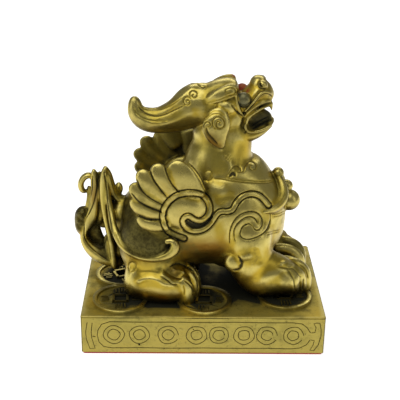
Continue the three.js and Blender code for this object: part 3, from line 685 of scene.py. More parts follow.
FEATHER_GAPS = [
    [(165, 163.8), (167, 173.6), (171.6, 183.6), (178.4, 192)],
    [(149.4, 169.4), (153, 179.3), (160, 189.3), (167.4, 198)],
    [(136.6, 179.3), (140.4, 189), (150, 198), (163, 205.2)],
    [(131.6, 193.6), (138.8, 202), (150, 208), (161.6, 212.2)],
    [(137.2, 215), (147.2, 219.4), (160.4, 220.2)],
]
FEATHER_EDGE = [(189, 163.4), (195.8, 171), (201.6, 180), (205.6, 190)]
EAR_RIM_GROOVE = [(206.4, 127.6), (207.6, 132.4), (212, 138.4), (217.6, 144)]
TAIL_CREASES = [
    [(97.4, 174), (97.6, 186), (95.4, 197), (91.6, 208), (86.6, 217)],
    [(92.4, 176), (91.8, 188), (89.4, 200), (86.6, 208)],
    [(84, 224), (84.6, 236), (90, 246), (99, 254), (108, 260)],
    [(104.4, 172), (106.6, 186), (107.6, 204), (110.4, 222), (112.6, 240)],
]
TOE_CLAW = [(183.4, 285.4), (184.4, 290), (184, 296)]
TONGUE_LINES = [
    [(252.6, 128.6), (260.6, 124.6), (269.6, 119.8)], [(252, 126), (259, 121.6), (268, 116.6)],
]
LOCK_CREASE = [
    (114.6, 232), (119.4, 243.6), (128.6, 251.6), (140, 256.6), (152, 257.6), (161.6, 254.6),
    (168.4, 249), (170.4, 243.6),
]

# Outlines of what the finish treats apart: the mouth, places given a warm brown painted shade, raw metal
MOUTH_OUTLINE = [
    (247.4, 121), (250.6, 117), (258, 112.6), (264, 109.4), (269, 110.6), (271.2, 115.7), (272, 120),
    (269.3, 123.4), (262.1, 126.4), (255, 129.4), (250.7, 130.8), (248, 127.6),
]
# Painted shade: warm brown on the ear's lower edge, the belly's and both paws' undersides, the hind
# paw's hollow and folds of the tail
BROWN_SHADE_OUTLINES = [
    [(203.6, 128), (207, 130.6), (212, 136), (217.6, 141.6), (222, 146), (219, 149.6), (211, 144),
     (205.6, 137)],
    [(176, 240), (190, 237), (212, 240), (227, 235), (231, 250), (214, 258), (190, 257), (176, 249)],
    [(132, 286), (140, 292), (160, 294), (176, 291), (184, 296), (170, 304), (148, 301), (136, 297)],
    [(165, 267), (172, 264.6), (179, 268), (182, 274), (180, 280), (172, 277)],
    [(230, 274), (240, 281), (256, 286), (250, 294), (238, 287)],
    [(94, 178), (99, 180), (98, 200), (93, 206), (91, 196)],
    [(111, 182), (115, 184), (113, 198), (108, 200)],
]
MOUTH_HALF_WIDTH = 7.6  # in units
# Paint: the middle in units and the radius
RED_PAINT = [
    ((16.6, 6.8, 92), 3.7), ((17.6, -3.6, 94.4), 1.6), ((12.8, 6.4, 98.6), 1.8),
    ((12.8, -6.4, 98.6), 1.2),
]
GREY_PAINT = ((16.2, -6.8, 91.2), 3.4)
PAINT_FADE = 0.5
TAIL_END = -0.044  # the raw metal of the tail lies behind this
RAW_OUTLINES = [
    [(73, 206), (82, 205), (85.4, 212), (84.6, 222), (81, 232), (77, 234), (73, 226)],
    [(92, 218), (100, 220), (103, 234), (107, 240), (108, 262), (99, 254), (90, 242), (86, 230)],
]
RUMP_OUTLINE = [
    (108, 196), (134, 198), (136, 212), (144, 226), (158, 236), (170, 241), (174, 247), (166, 257),
    (150, 259), (132, 256), (120, 248), (113, 232), (108, 214),
]

# Each cut line with its half width in pixels and its depth in millimetres
CUTS = [
    (WING_PIT, 2.4, 0.7), (SHOULDER_OUTER, 0.75, 0.5), (SHOULDER_INNER, 0.7, 0.5),
    (SHOULDER_CURL, 0.75, 0.5), (COLLAR_LINE, 0.6, 0.35), (COLLAR_UPPER, 0.5, 0.3),
    (CURL_ONE, 0.6, 0.35), (CURL_TWO, 0.6, 0.35), (CURL_PIT, 1.6, 0.6), (NECK_CURL, 0.5, 0.22),
    (NECK_CURL_FOOT, 0.6, 0.3), (EAR_SPIRAL, 0.7, 0.4), (EAR_CURL, 0.7, 0.4),
    *((line, 0.4, 0.15) for line in EAR_ARCS), (BROW_CURL, 0.55, 0.3), (BROW_UNDER, 0.6, 0.22),
    (CHEEK_EDGE, 0.8, 0.4), (LIP_FOLD, 0.8, 0.45), (LIP_LOWER_FOLD, 0.7, 0.35),
    (NOSTRIL, 0.7, 0.4), (NOSTRIL_PIT, 1.3, 1), (JAW_NOTCH, 0.7, 0.4), (HORN_CREASE, 0.7, 0.4),
    (HORN_LOW_CREASE, 0.6, 0.3), (HORN_RIDGE, 0.5, 0.22), (HORN_CURL_UPPER, 0.6, 0.35),
    (HORN_CURL_LOWER, 0.6, 0.35), (HORN_TOP_NOTCH, 0.7, 0.4), (DEW_CLAW, 0.9, 0.5),
    (DEW_CLAW_PIT, 1.3, 0.4), (HEEL_CURL, 0.6, 0.3), (LOCK_CREASE, 0.5, 0.25), (FEATHER_EDGE, 0.8, 0.4),
    (EAR_RIM_GROOVE, 0.7, 0.4), (TOE_CLAW, 0.7, 0.3), (LIP_TOP_FOLD, 0.7, 0.35), (EYE_RIM, 0.7, 0.4),
    *((line, 0.5, 0.25) for line in NECK_STROKES + PLATE_LINES),
    *((line, 0.7, 0.5) for line in HIND_TOES + TAIL_CREASES),
    *((line, 0.8, 0.32) for line in FORE_TOES),
    *((line, 0.8, 0.55) for line in FEATHER_GAPS),
    *((line, 0.6, 0.4) for line in TONGUE_LINES),
]
# Each raised band with its half width in pixels and its rise in millimetres
BANDS = [(WING_BAND, 2.2, 0.45)]
BAND_REACH = 3
BAND_GROOVE = 0.6
BAND_GROOVE_WIDTH = 0.75
FADE_OF_EDGE = 0.8  # how softly a band's side falls, in pixels
LEVELLING_ROUNDS = 25
LINE_FULL = 0.35  # a groove this deep, in millimetres, is fully dark
LINE_LIMIT = 0.12  # from here a groove keeps its fine mesh
SWELL_REACH = 2.2  # in half widths
CUT_REACH = 3
TAPER = 10  # a groove narrows over a tenth of its length at each end
TAPERED_WIDTH = 0.45
FACING_LIMIT = 0.1  # surfaces more edge-on than this aren't carved
# Soft swellings and hollows, each with its half width in pixels and its rise in millimetres
SWELLS = [
    (HIND_HOLLOW, 3.4, -1.7),
    ([(243, 257.6), (249, 256)], 3, 0.9),
    ([(256, 252), (259.6, 261)], 3.4, -0.8),
    ([(226, 158), (231, 166)], 4.6, 0.6),
    ([(240, 146), (237, 157), (236.6, 167)], 4.4, -0.8),
    ([(139, 281), (147, 278.6), (156, 279.6), (165, 284), (172, 284.4)], 2.4, 0.8),
    ([(141, 271.6), (150, 271.2), (158, 273.4)], 2.6, -0.5),
    ([(203.6, 124), (204.6, 132), (209.6, 140), (216, 146), (221, 149)], 1.8, 0.6),
    ([(222, 105), (232, 107)], 7, 0.7),
    ([(188, 204), (193, 207)], 9, 0.7),
    ([(218, 100), (226, 95.6), (233, 92)], 2, 0.4),
    ([(249, 101), (254, 95), (257.6, 90)], 2.4, 0.5),
    ([(146, 108), (156, 111), (168, 107.6), (180, 99), (192, 88.6)], 3, 0.5),
    ([(140, 118), (154, 124), (172, 121), (190, 113)], 4, 0.5),
    ([(214, 188), (222, 190)], 6, 0.5),
    ([(236, 200), (230, 197), (222, 200)], 5, -0.5),
    ([(264, 279), (270.7, 275.4), (277, 273.4), (286.4, 269.4)], 4.6, 0.45),
    ([(281, 263.8), (284.6, 262.8)], 1.8, 0.7),
    ([(288.4, 264.4), (292, 265)], 1.8, 0.6),
    ([(162, 275.8), (168.7, 279), (172, 282.2), (177.8, 283)], 1.2, 0.5),
    ([(173.6, 270), (174, 270.4)], 1.6, 0.7),
    ([(182.8, 272), (183.2, 273)], 1.6, 0.6),
    ([(163, 244), (166.6, 243.4)], 2, 0.5),
]


def camera_axes():
    """The camera's directions to the right, up and ahead."""
    level_share = math.cos(PITCH)
    ahead = Vector((math.sin(YAW) * level_share, math.cos(YAW) * level_share, -math.sin(PITCH)))
    level = Vector((math.cos(YAW), -math.sin(YAW), 0))
    upright = level.cross(ahead)
    right = level * math.cos(ROLL) + upright * math.sin(ROLL)
    up = upright * math.cos(ROLL) - level * math.sin(ROLL)
    return right, up, ahead


def in_the_picture(points):
    """Where points show in the photograph, in pixels, once they are taken to its side."""
    right, up, ahead = (np.array(axis) for axis in camera_axes())
    offsets = near_side(points) - np.array(EYE)
    depth = offsets @ ahead
    return np.stack((
        PICTURE_MIDDLE + FOCAL_PIXELS * (offsets @ right) / depth,
        PICTURE_MIDDLE - FOCAL_PIXELS * (offsets @ up) / depth,
    ), axis=1)


def near_side(points):
    """Points taken to the side that the camera sees."""
    return points * np.where(points[:, 1:2] > 0, [[1, -1, 1]], 1)


def away_from(line, spots):
    """Each spot's distance from a smooth line through points, and how near it is to the line's ends."""
    run = smooth_rows(line, 5)
    nearest = np.full(len(spots), np.inf)
    place_on_line = np.zeros(len(spots))
    for i, (start, end) in enumerate(zip(run[:-1], run[1:])):
        along = end - start
        share = np.clip((spots - start) @ along / (along @ along), 0, 1)
        gap = np.linalg.norm(spots - start - share[:, None] * along, axis=1)
        closer = gap < nearest
        nearest[closer] = gap[closer]
        place_on_line[closer] = (i + share[closer]) / (len(run) - 1)
    return nearest, np.minimum(place_on_line, 1 - place_on_line)


def close_by(line, spots, reach):
    """Which spots lie in the box round a line, widened by `reach`."""
    low = np.min(line, axis=0) - reach
    high = np.max(line, axis=0) + reach
    return np.nonzero(np.all((spots > low) & (spots < high), axis=1))[0]


def table_of(items, field, width, kind):
    """One field of a mesh's points or edges, a row each."""
    values = np.empty(len(items) * width, kind)
    items.foreach_get(field, values)
    return values.reshape(-1, width)


def mesh_points(mesh):
    return table_of(mesh.vertices, "co", 3, float)


def mesh_normals(mesh):
    return table_of(mesh.vertex_normals, "vector", 3, np.float32).astype(float)


def mesh_edges(mesh):
    return table_of(mesh.edges, "vertices", 2, np.int64)


def averaged(values, edges, rounds, keep=0.5):
    """Values, one row a point, each drawn `rounds` times towards its neighbours' mean."""
    table = values.reshape(len(values), -1)
    ends = np.concatenate((edges[:, 0], edges[:, 1]))
    others = np.concatenate((edges[:, 1], edges[:, 0]))
    count = np.maximum(np.bincount(ends, minlength=len(table)), 1)
    alone = np.bincount(ends, minlength=len(table)) == 0
    for _ in range(rounds):
        mean = np.stack([
            np.bincount(ends, weights=column[others], minlength=len(table)) / count
            for column in table.T
        ], axis=1)
        mean[alone] = table[alone]
        table = keep * table + (1 - keep) * mean
    return table.reshape(values.shape)


def store(mesh, name, values):
    layer = mesh.attributes.new(name, "FLOAT", "POINT")
    layer.data.foreach_set("value", values.astype(np.float32))


def tree_of(points, mesh):
    return BVHTree.FromPolygons(
        [tuple(p) for p in points], [tuple(face.vertices) for face in mesh.polygons])


def carved(obj):
    """Cuts the lines and raises the bands on both flanks, where the camera would see them."""
    mesh = obj.data
    points, normals = mesh_points(mesh), mesh_normals(mesh)
    edges = mesh_edges(mesh)
    spots = in_the_picture(points)
    near_points = near_side(points)
    near_normals = normals * np.where(points[:, 1:2] > 0, [[1, -1, 1]], 1)
    towards = np.array(EYE) - near_points
    towards /= np.linalg.norm(towards, axis=1)[:, None]
    facing = np.sum(near_normals * towards, axis=1)
    tree = tree_of(points, mesh)
    known = {}

    def seen(chosen):
        found = np.zeros(len(chosen), bool)
        for k, i in enumerate(chosen):
            if i not in known:
                start = Vector(near_points[i] + (near_normals[i] + towards[i]) * SIGHT_LIFT)
                known[i] = tree.ray_cast(start, Vector(towards[i]))[0] is None
            found[k] = known[i]
        return found

    def chosen_along(line, reach):
        chosen = close_by(line, spots, reach)
        chosen = chosen[facing[chosen] > FACING_LIMIT]
        gap, end = away_from(line, spots[chosen])
        inside = gap < reach
        chosen, gap, end = chosen[inside], gap[inside], end[inside]
        shown = seen(chosen)
        return chosen[shown], gap[shown], end[shown]

    swell = np.zeros(len(points))
    for line, half, height in SWELLS:
        chosen, gap, _ = chosen_along(line, half * SWELL_REACH)
        swell[chosen] += height * np.exp(-(gap / half) ** 2)
    points += normals * (averaged(swell, edges, 3) * MM)[:, None]

    rise = np.zeros(len(points))
    for line, half, height in BANDS:
        chosen, gap, _ = chosen_along(line, half + BAND_REACH)
        under_band = np.zeros(len(points), bool)
        under_band[chosen[gap < half + 1]] = True
        local = edges[under_band[edges[:, 0]] | under_band[edges[:, 1]]]
        for _ in range(LEVELLING_ROUNDS):
            points[under_band] = averaged(points, local, 1, 0.3)[under_band]
        top = np.clip((half + FADE_OF_EDGE / 2 - gap) / FADE_OF_EDGE, 0, 1)
        side = np.exp(-((gap - half - BAND_GROOVE_WIDTH) / BAND_GROOVE_WIDTH) ** 2)
        rounding = 1 - 0.25 * np.clip(gap / half, 0, 1) ** 2
        rise[chosen] = height * rounding * top ** 2 * (3 - 2 * top) - BAND_GROOVE * side * (1 - top)
    depth_here = np.zeros(len(points))
    for line, half, depth in CUTS:
        chosen, gap, end = chosen_along(line, half * CUT_REACH)
        width = half * np.clip(end * TAPER, TAPERED_WIDTH, 1)
        depth_here[chosen] = np.maximum(depth_here[chosen], depth * np.exp(-(gap / width) ** 2))
    points += normals * ((rise - depth_here) * MM)[:, None]
    mesh.vertices.foreach_set("co", points.ravel())
    mesh.update()
    line = np.clip((depth_here - np.minimum(rise, 0)) / LINE_FULL, 0, 1)
    store(mesh, "line", line)
    kept_fine = obj.vertex_groups.new(name="kept_fine")
    kept_fine.add([int(i) for i in np.nonzero(line > LINE_LIMIT)[0]], 1, "REPLACE")
    return obj


# Plinth and coins

def choose_edges(mesh, wanted):
    """Selects the sharp edges that `wanted` picks by their points and their faces' normals."""
    shape = unselected(mesh)
    for edge in shape.edges:
        normals = [face.normal for face in edge.link_faces]
        if len(normals) == 2 and normals[0].angle(normals[1]) > 1 and wanted(edge, normals):
            edge.select = True
    shape.select_flush_mode()
    bmesh.update_edit_mesh(mesh)


def block():
    """The plinth: worn corners and edges, its top and sides a little uneven."""
    height = PLINTH_TOP - FELT_THICKNESS
    deselect()
    bpy.ops.mesh.primitive_cube_add(size=1, location=(0, 0, FELT_THICKNESS + height / 2))
    bpy.ops.transform.resize(value=(PLINTH_LENGTH, PLINTH_DEPTH, height))
    obj = settle(bpy.context.object)
    bpy.ops.object.mode_set(mode="EDIT")
    bpy.ops.mesh.select_all(action="SELECT")
    bpy.ops.mesh.subdivide(number_cuts=PLINTH_CUTS)
    choose_edges(obj.data, lambda edge, normals: all(abs(n.z) < 0.5 for n in normals))
    bpy.ops.mesh.bevel(offset=PLINTH_CORNER, segments=4)
    choose_edges(obj.data, lambda edge, normals: all(v.co.z > PLINTH_TOP - MM for v in edge.verts))
    bpy.ops.mesh.bevel(offset=PLINTH_BEVEL, segments=3)
    bpy.ops.object.mode_set(mode="OBJECT")
    points, normals = mesh_points(obj.data), mesh_normals(obj.data)
    for i, point in enumerate(points):
        spot = Vector(point)
        dip = 0.5 + 0.5 * noise.noise(spot * 70) + 0.25 * noise.noise(spot * 260)
        if point[2] > FELT_THICKNESS + MM / 2:
            points[i] -= normals[i] * max(dip, 0) * PLINTH_DIP
    obj.data.vertices.foreach_set("co", points.ravel())
    obj.data.update()
    return obj


def bar(x, y, z, length, width, height, turn=0):
    """A box round x, y, z, turned about its upright."""
    deselect()
    bpy.ops.mesh.primitive_cube_add(size=1, location=(x, y, z), rotation=(0, 0, turn))
    bpy.ops.transform.resize(
        value=(length, width, height), orient_type="GLOBAL",
        orient_matrix=Matrix.Rotation(turn, 3, "Z"), orient_matrix_type="GLOBAL")
    return settle(bpy.context.object)


def coin(x, y, turn):
    """A cash coin: raised rim, sunk field, square hole in a frame, and plain strokes beside it."""
    deselect()
    bpy.ops.mesh.primitive_cylinder_add(
        vertices=72, radius=COIN_RADIUS, depth=COIN_RIM_RISE + COIN_ROOT,
        location=(x, y, PLINTH_TOP + (COIN_RIM_RISE - COIN_ROOT) / 2))
    disc = settle(bpy.context.object)
    top = PLINTH_TOP + COIN_RIM_RISE
    bpy.ops.object.mode_set(mode="EDIT")
    shape = bmesh.from_edit_mesh(disc.data)
    for face in shape.faces:
        face.select = all(abs(v.co.z - top) < 1e-6 for v in face.verts)
    shape.select_flush(True)
    bmesh.update_edit_mesh(disc.data)
    for inset, lift in (
            (RIM_ROUNDING, RIM_SWELL), (COIN_RIM_WIDTH - 2 * RIM_ROUNDING, -RIM_SWELL / 2),
            (RIM_SLOPE, COIN_FIELD_RISE - COIN_RIM_RISE - RIM_SWELL / 2)):
        bpy.ops.mesh.inset(thickness=inset)
        bpy.ops.transform.translate(value=(0, 0, lift))
    bpy.ops.object.mode_set(mode="OBJECT")
    field = PLINTH_TOP + COIN_FIELD_RISE
    raised = []

    def put(u, v, length, width, spin, rise=MARK_RISE):
        px = x + u * math.cos(turn) - v * math.sin(turn)
        py = y + u * math.sin(turn) + v * math.cos(turn)
        raised.append(bar(
            px, py, field + rise / 2 - MARK_ROOT, length, width, rise + 2 * MARK_ROOT, turn + spin))

    frame_size = COIN_HOLE + 2 * COIN_FRAME_WIDTH
    side = (frame_size - COIN_FRAME_WIDTH) / 2
    for quarter in range(4):
        angle = quarter * math.pi / 2
        u, v = side * math.cos(angle), side * math.sin(angle)
        put(u, v, COIN_FRAME_WIDTH, frame_size, angle, COIN_FRAME_RISE)
    # A row of plain parallel strokes on each side of the hole, in no script
    for quarter in range(4):
        angle = quarter * math.pi / 2
        for step in (-1.5, -0.5, 0.5, 1.5):
            out = frame_size / 2 + MARK_FROM_FRAME + random.uniform(-0.0004, 0.0004)
            across = step * MARK_SPACING + random.uniform(-0.0001, 0.0001)
            u = out * math.cos(angle) - across * math.sin(angle)
            v = out * math.sin(angle) + across * math.cos(angle)
            length = random.uniform(0.0028, 0.0044)
            put(u, v, length, MARK_WIDTH, angle + random.uniform(-0.08, 0.08))
    cut(disc, joined(raised, "marks"), "UNION")
    return cut(disc, bar(x, y, field, COIN_HOLE, COIN_HOLE, COIN_HOLE_DEPTH, turn))


def groove(points, closed):
    """A round cutter along points in a wall's plane."""
    deselect()
    bpy.ops.curve.primitive_bezier_curve_add()
    obj = bpy.context.object
    curve = obj.data
    curve.splines.clear()
    spline = curve.splines.new("POLY")
    spline.points.add(len(points) - 1)
    for slot, point in zip(spline.points, points):
        slot.co = (*point, 1)
    spline.use_cyclic_u = closed
    curve.dimensions = "3D"
    curve.bevel_depth = GROOVE_RADIUS
    curve.bevel_resolution = 1
    curve.use_fill_caps = True
    take(obj)
    bpy.ops.object.convert(target="MESH")
    bpy.ops.object.mode_set(mode="EDIT")
    bpy.ops.mesh.select_all(action="SELECT")
    bpy.ops.mesh.remove_doubles(threshold=1e-6)
    bpy.ops.mesh.normals_make_consistent(inside=False)
    bpy.ops.object.mode_set(mode="OBJECT")
    return bpy.context.object


def wobbly_circle(x, z, radius, jitter):
    """A circle cut by hand: points (along, up) with a slight wobble."""
    phase = random.uniform(0, 6.28)
    lobes = random.choice((2, 3))
    return [
        (x + radius * (1 + jitter * math.sin(lobes * a + phase)) * math.cos(a),
         z + radius * (1 - jitter * math.sin(lobes * a + phase)) * math.sin(a))
        for a in (2 * math.pi * k / CIRCLE_POINTS for k in range(CIRCLE_POINTS))
    ]


def circles(centres):
    """Two wobbly circles about each centre, some of them not quite closed."""
    lines = []
    for k, along in enumerate(centres):
        for radius, wobble in CIRCLE_RADII:
            line = wobbly_circle(along, CIRCLE_HEIGHT, radius * random.uniform(0.95, 1.03), wobble)
            gap = random.choice((0, 0, 0, 2))
            lines.append((line[:len(line) - gap], gap == 0))
    return lines


def front_lines():
    """The front wall's border, open to the right where it meets the bracket, and both brackets."""
    border = [
        (50.5, 12.1), (49, 14.8), (46.4, 17), (42, 17.6), (30, 17.5), (15, 17.7), (0, 17.5),
        (-15, 17.6), (-30, 17.5), (-44, 17.6), (-47.6, 16.2), (-49.4, 13), (-49.8, 10), (-49, 6.4),
        (-46.8, 4), (-43, 3.3), (-30, 3.5), (-15, 3.3), (0, 3.5), (15, 3.4), (30, 3.5), (42, 3.3),
        (46, 3.8), (49, 5.6), (50.5, 8.1),
    ]
    right = [
        (51, 12.2), (52.6, 12.4), (53, 15), (51.8, 17.2), (53.4, 17.6), (54.7, 17.4), (55.5, 13.6),
        (55.6, 10.2), (54.6, 5.6), (52.8, 2.4), (50.8, 2.6), (52.2, 5.6), (52.6, 8), (51, 8.2),
    ]
    left = [
        (-52, 17), (-52.6, 12), (-52.4, 8.6), (-51, 3), (-53.4, 2.8), (-55, 8), (-55.2, 12),
        (-54.3, 17.2),
    ]
    link = [(-52, 9.6), (-50.6, 9.4)]
    return [([(x * MM, z * MM) for x, z in line], False) for line in (border, right, left, link)]


def wall_lines(length, centres):
    """Border and circles for one wall, as lists of (along, up) with whether they close."""
    half = length / 2
    lines = circles(centres)
    end = half - BORDER_INSET
    middle = (BORDER_TOP + BORDER_FOOT) / 2

    def rounded_end(side):
        return [
            (side * (end - END_BACK + END_OUT * math.cos(a)),
             middle + (BORDER_TOP - BORDER_FOOT) / 2 * math.sin(a))
            for a in (math.pi / 2 - math.pi * k / 14 for k in range(15))
        ]

    lines.append((rounded_end(1) + rounded_end(-1)[::-1], True))
    for inset, bow in END_ARCS:
        for side in (-1, 1):
            arc = [
                (side * (half - inset - bow * (1 - math.sin(math.pi * k / 8))),
                 ARC_FOOT + ARC_HEIGHT * k / 8)
                for k in range(9)
            ]
            lines.append((arc, False))
    return lines


def engraved(block_obj):
    front = [-0.042, -0.030, -0.0165, -0.0031, 0.0074, 0.0192, 0.0301, 0.0425]
    back = [-0.0415, -0.0295, -0.0175, -0.0058, 0.0058, 0.0178, 0.0298, 0.0418]
    side = [-0.0236, -0.0118, 0, 0.0118, 0.0236]
    sink = PLINTH_DIP / 2
    walls = [
        (circles(front) + front_lines(), lambda a, z: (a, -PLINTH_DEPTH / 2 + sink, z)),
        (wall_lines(PLINTH_LENGTH, back), lambda a, z: (-a, PLINTH_DEPTH / 2 - sink, z)),
        (wall_lines(PLINTH_DEPTH, side), lambda a, z: (PLINTH_LENGTH / 2 - sink, a, z)),
        (wall_lines(PLINTH_DEPTH, side), lambda a, z: (-PLINTH_LENGTH / 2 + sink, -a, z)),
    ]
    for lines, put in walls:
        cutters = [groove([put(a, z) for a, z in line], closed) for line, closed in lines]
        cut(block_obj, joined(cutters, "cutters"))
    for x, y, z, radius in PITS:
        deselect()
        bpy.ops.mesh.primitive_ico_sphere_add(
            subdivisions=2, radius=radius * MM, location=(x * MM, y * MM, z * MM))
        cut(block_obj, bpy.context.object)
    return block_obj


paired_flesh, single_flesh = flesh()
body = joined([mirrored(paired_flesh, "limbs"), *single_flesh], "flesh")
remeshed(body, FLESH_VOXEL, 14)
body_tree = tree_of(mesh_points(body.data), body.data)

paired_skull, single_skull = skull()
head = joined([mirrored(paired_skull, "cheeks"), *single_skull], "skull")
remeshed(head, METAL_VOXEL * 1.5, 6)

paired_face, single_face = face()
paired = mirrored([*paired_face, *ear(), *wing(), *locks(), *toes()], "paired")
far_feathers = [
    form([[-4, 18.4, 56, 2.2, 5], [-5.4, 19.4, 62, 2, 5.4], [-6.6, 19.8, 67, 1.4, 4.4]]),
    form([[-12, 19.2, 60, 1.8, 4], [-16, 19.8, 66, 1.4, 4.4], [-17, 19.8, 69.4, 1, 3.4]]),
]
beast = joined([
    paired, body, head, *far_feathers, *single_face, *horn(), *tail(), *beads(),
], "beast")
remeshed(beast, METAL_VOXEL, 4)
carved(beast)
finish_with(beast, "SMOOTH", factor=0.3, iterations=1)
finish_with(beast, "TRIANGULATE")
finish_with(
    beast, "DECIMATE", ratio=BEAST_TRIANGLES / len(beast.data.polygons), vertex_group="kept_fine",
    invert_vertex_group=True, vertex_group_factor=0.001)
# What reaches below the soles, which stand 0.7 mm deep in the plinth, is cut away
cut(beast, bar(0, 0, PLINTH_TOP - 0.012, 0.2, 0.2, 0.0226))

casting = engraved(block())
casting.name = "pixiu_casting_detailed"
for (x, y), turn in zip(COINS, COIN_TURNS):
    cut(casting, coin(x * UNIT, y * UNIT, turn), "UNION")
cut(casting, beast, "UNION")


def within(outline, spots):
    """Which spots lie inside an outline."""
    inside = np.zeros(len(spots), bool)
    for (ax, ay), (bx, by) in zip(outline, outline[1:] + outline[:1]):
        crosses = (ay > spots[:, 1]) != (by > spots[:, 1])
        at = ax + (spots[:, 1] - ay) * (bx - ax) / (by - ay if by != ay else 1)
        inside ^= crosses & (spots[:, 0] < at)
    return inside


def nature(mesh, smooth_body):
    """Stores how hollow, shaded and worn each point is, where painted shade goes on undersides and in
    warm brown, which sides face the middle, and where paint and raw metal are.
    """
    points, normals = mesh_points(mesh), mesh_normals(mesh)
    edges = mesh_edges(mesh)
    tree = tree_of(points, mesh)
    directions = []
    for k in range(RAYS):
        height = math.sqrt(1 - (k + 0.5) / RAYS)
        around = k * math.pi * (3 - math.sqrt(5))
        out = math.sqrt(1 - height * height)
        directions.append(Vector((out * math.cos(around), out * math.sin(around), height)))
    near_hits = np.zeros(len(points))
    far_hits = np.zeros(len(points))
    for i, (point, normal) in enumerate(zip(points, normals)):
        up = Vector(normal)
        turn = up.to_track_quat("Z", "Y")
        start = Vector(point) + up * RAY_LIFT
        for direction in directions:
            distance = tree.ray_cast(start, turn @ direction, FAR_REACH)[3]
            if distance is not None:
                far_hits[i] += 1 - distance / FAR_REACH
                near_hits[i] += distance < NEAR_REACH
    bump = np.sum((points - averaged(points, edges, 3)) * normals, axis=1) / MM
    spots = in_the_picture(points)
    flesh_near = np.array([
        inside and smooth_body.find_nearest(Vector(p), FLESH_NEARNESS)[0] is not None
        for p, inside in zip(points, within(RUMP_OUTLINE, spots))
    ], float)
    figure = (points - np.array([0, 0, PLINTH_TOP])) / UNIT
    in_mouth = within(MOUTH_OUTLINE, spots) & (np.abs(figure[:, 1]) < MOUTH_HALF_WIDTH)

    def painted(centre, radius):
        away = np.linalg.norm(figure - np.array(centre), axis=1)
        return np.clip((radius - away) / PAINT_FADE, 0, 1)

    in_coin = np.zeros(len(points))
    for x, y in COINS:
        away = np.linalg.norm(figure[:, :2] - np.array([x, y]), axis=1) * UNIT
        above_deck = points[:, 2] - PLINTH_TOP
        in_field = (above_deck > FIELD_SLACK) & (above_deck < COIN_FIELD_RISE + FIELD_SLACK)
        in_coin[in_field & (away < COIN_RADIUS - COIN_RIM_WIDTH)] = 1
    # Sides that face the middle plane, away from it, are stored to be darkened
    inward = -normals[:, 1] * np.sign(points[:, 1])
    aside = np.abs(figure[:, 1]) > INNER_FROM
    facing_middle = np.clip(inward * 1.5, 0, 1) * aside * (figure[:, 2] > 1)
    # Painted shade: points inside the warm brown outlines
    in_brown_shade = np.any([within(outline, spots) for outline in BROWN_SHADE_OUTLINES], axis=0).astype(float)
    raw = np.any([within(outline, spots) for outline in RAW_OUTLINES], axis=0)
    raw = raw * (points[:, 0] < TAIL_END)
    on_wall = (points[:, 2] < PLINTH_TOP - MM) & (points[:, 2] > FELT_THICKNESS)
    sunk = np.minimum(
        PLINTH_LENGTH / 2 - np.abs(points[:, 0]), PLINTH_DEPTH / 2 - np.abs(points[:, 1]))
    flat_wall = on_wall & (sunk < ENGRAVED_FROM)
    # Painted shade: surfaces facing down, above the plinth, are stored to be darkened and browned
    underside_shade = np.clip(-normals[:, 2] * 1.3, 0, 1) * (points[:, 2] > PLINTH_TOP + MM)
    values = {
        "under": averaged(underside_shade, edges, 12),
        "brown_shade_mask": averaged(in_brown_shade, edges, 14),
        "coin_field": in_coin,
        "inner": averaged(facing_middle, edges, 3),
        "mouth": averaged(in_mouth.astype(float), edges, 1),
        "red": np.maximum.reduce([painted(*spot) for spot in RED_PAINT]),
        "grey": painted(*GREY_PAINT),
        "hollow": averaged(near_hits / RAYS, edges, 1),
        "shade": averaged(far_hits / RAYS, edges, 3),
        "edge": averaged(np.clip(bump / FULL_BUMP, -1, 1), edges, 1),
        "rump": averaged(np.maximum(flesh_near, raw), edges, 4),
    }
    values["hollow"][on_wall] = 1
    for name in ("hollow", "shade"):
        values[name][flat_wall] = 0
    values["edge"][on_wall] = 0
    for name, value in values.items():
        store(mesh, name, value)


nature(casting.data, body_tree)


# Finishes

class Wire:
    """A socket of a finish. Sums and products of wires add their Math nodes."""

    def __init__(self, finish, socket):
        self.finish = finish
        self.socket = socket

    def worked(self, operation, first, second):
        return self.finish.node("ShaderNodeMath", {"operation": operation}, {0: first, 1: second})

    def __add__(self, other):
        return self.worked("ADD", self, other)

    def __radd__(self, other):
        return self.worked("ADD", other, self)

    def __sub__(self, other):
        return self.worked("SUBTRACT", self, other)

    def __rsub__(self, other):
        return self.worked("SUBTRACT", other, self)

    def __mul__(self, other):
        return self.worked("MULTIPLY", self, other)

    def __rmul__(self, other):
        return self.worked("MULTIPLY", other, self)

    def clamped(self):
        return self.finish.node("ShaderNodeClamp", {}, {0: self})


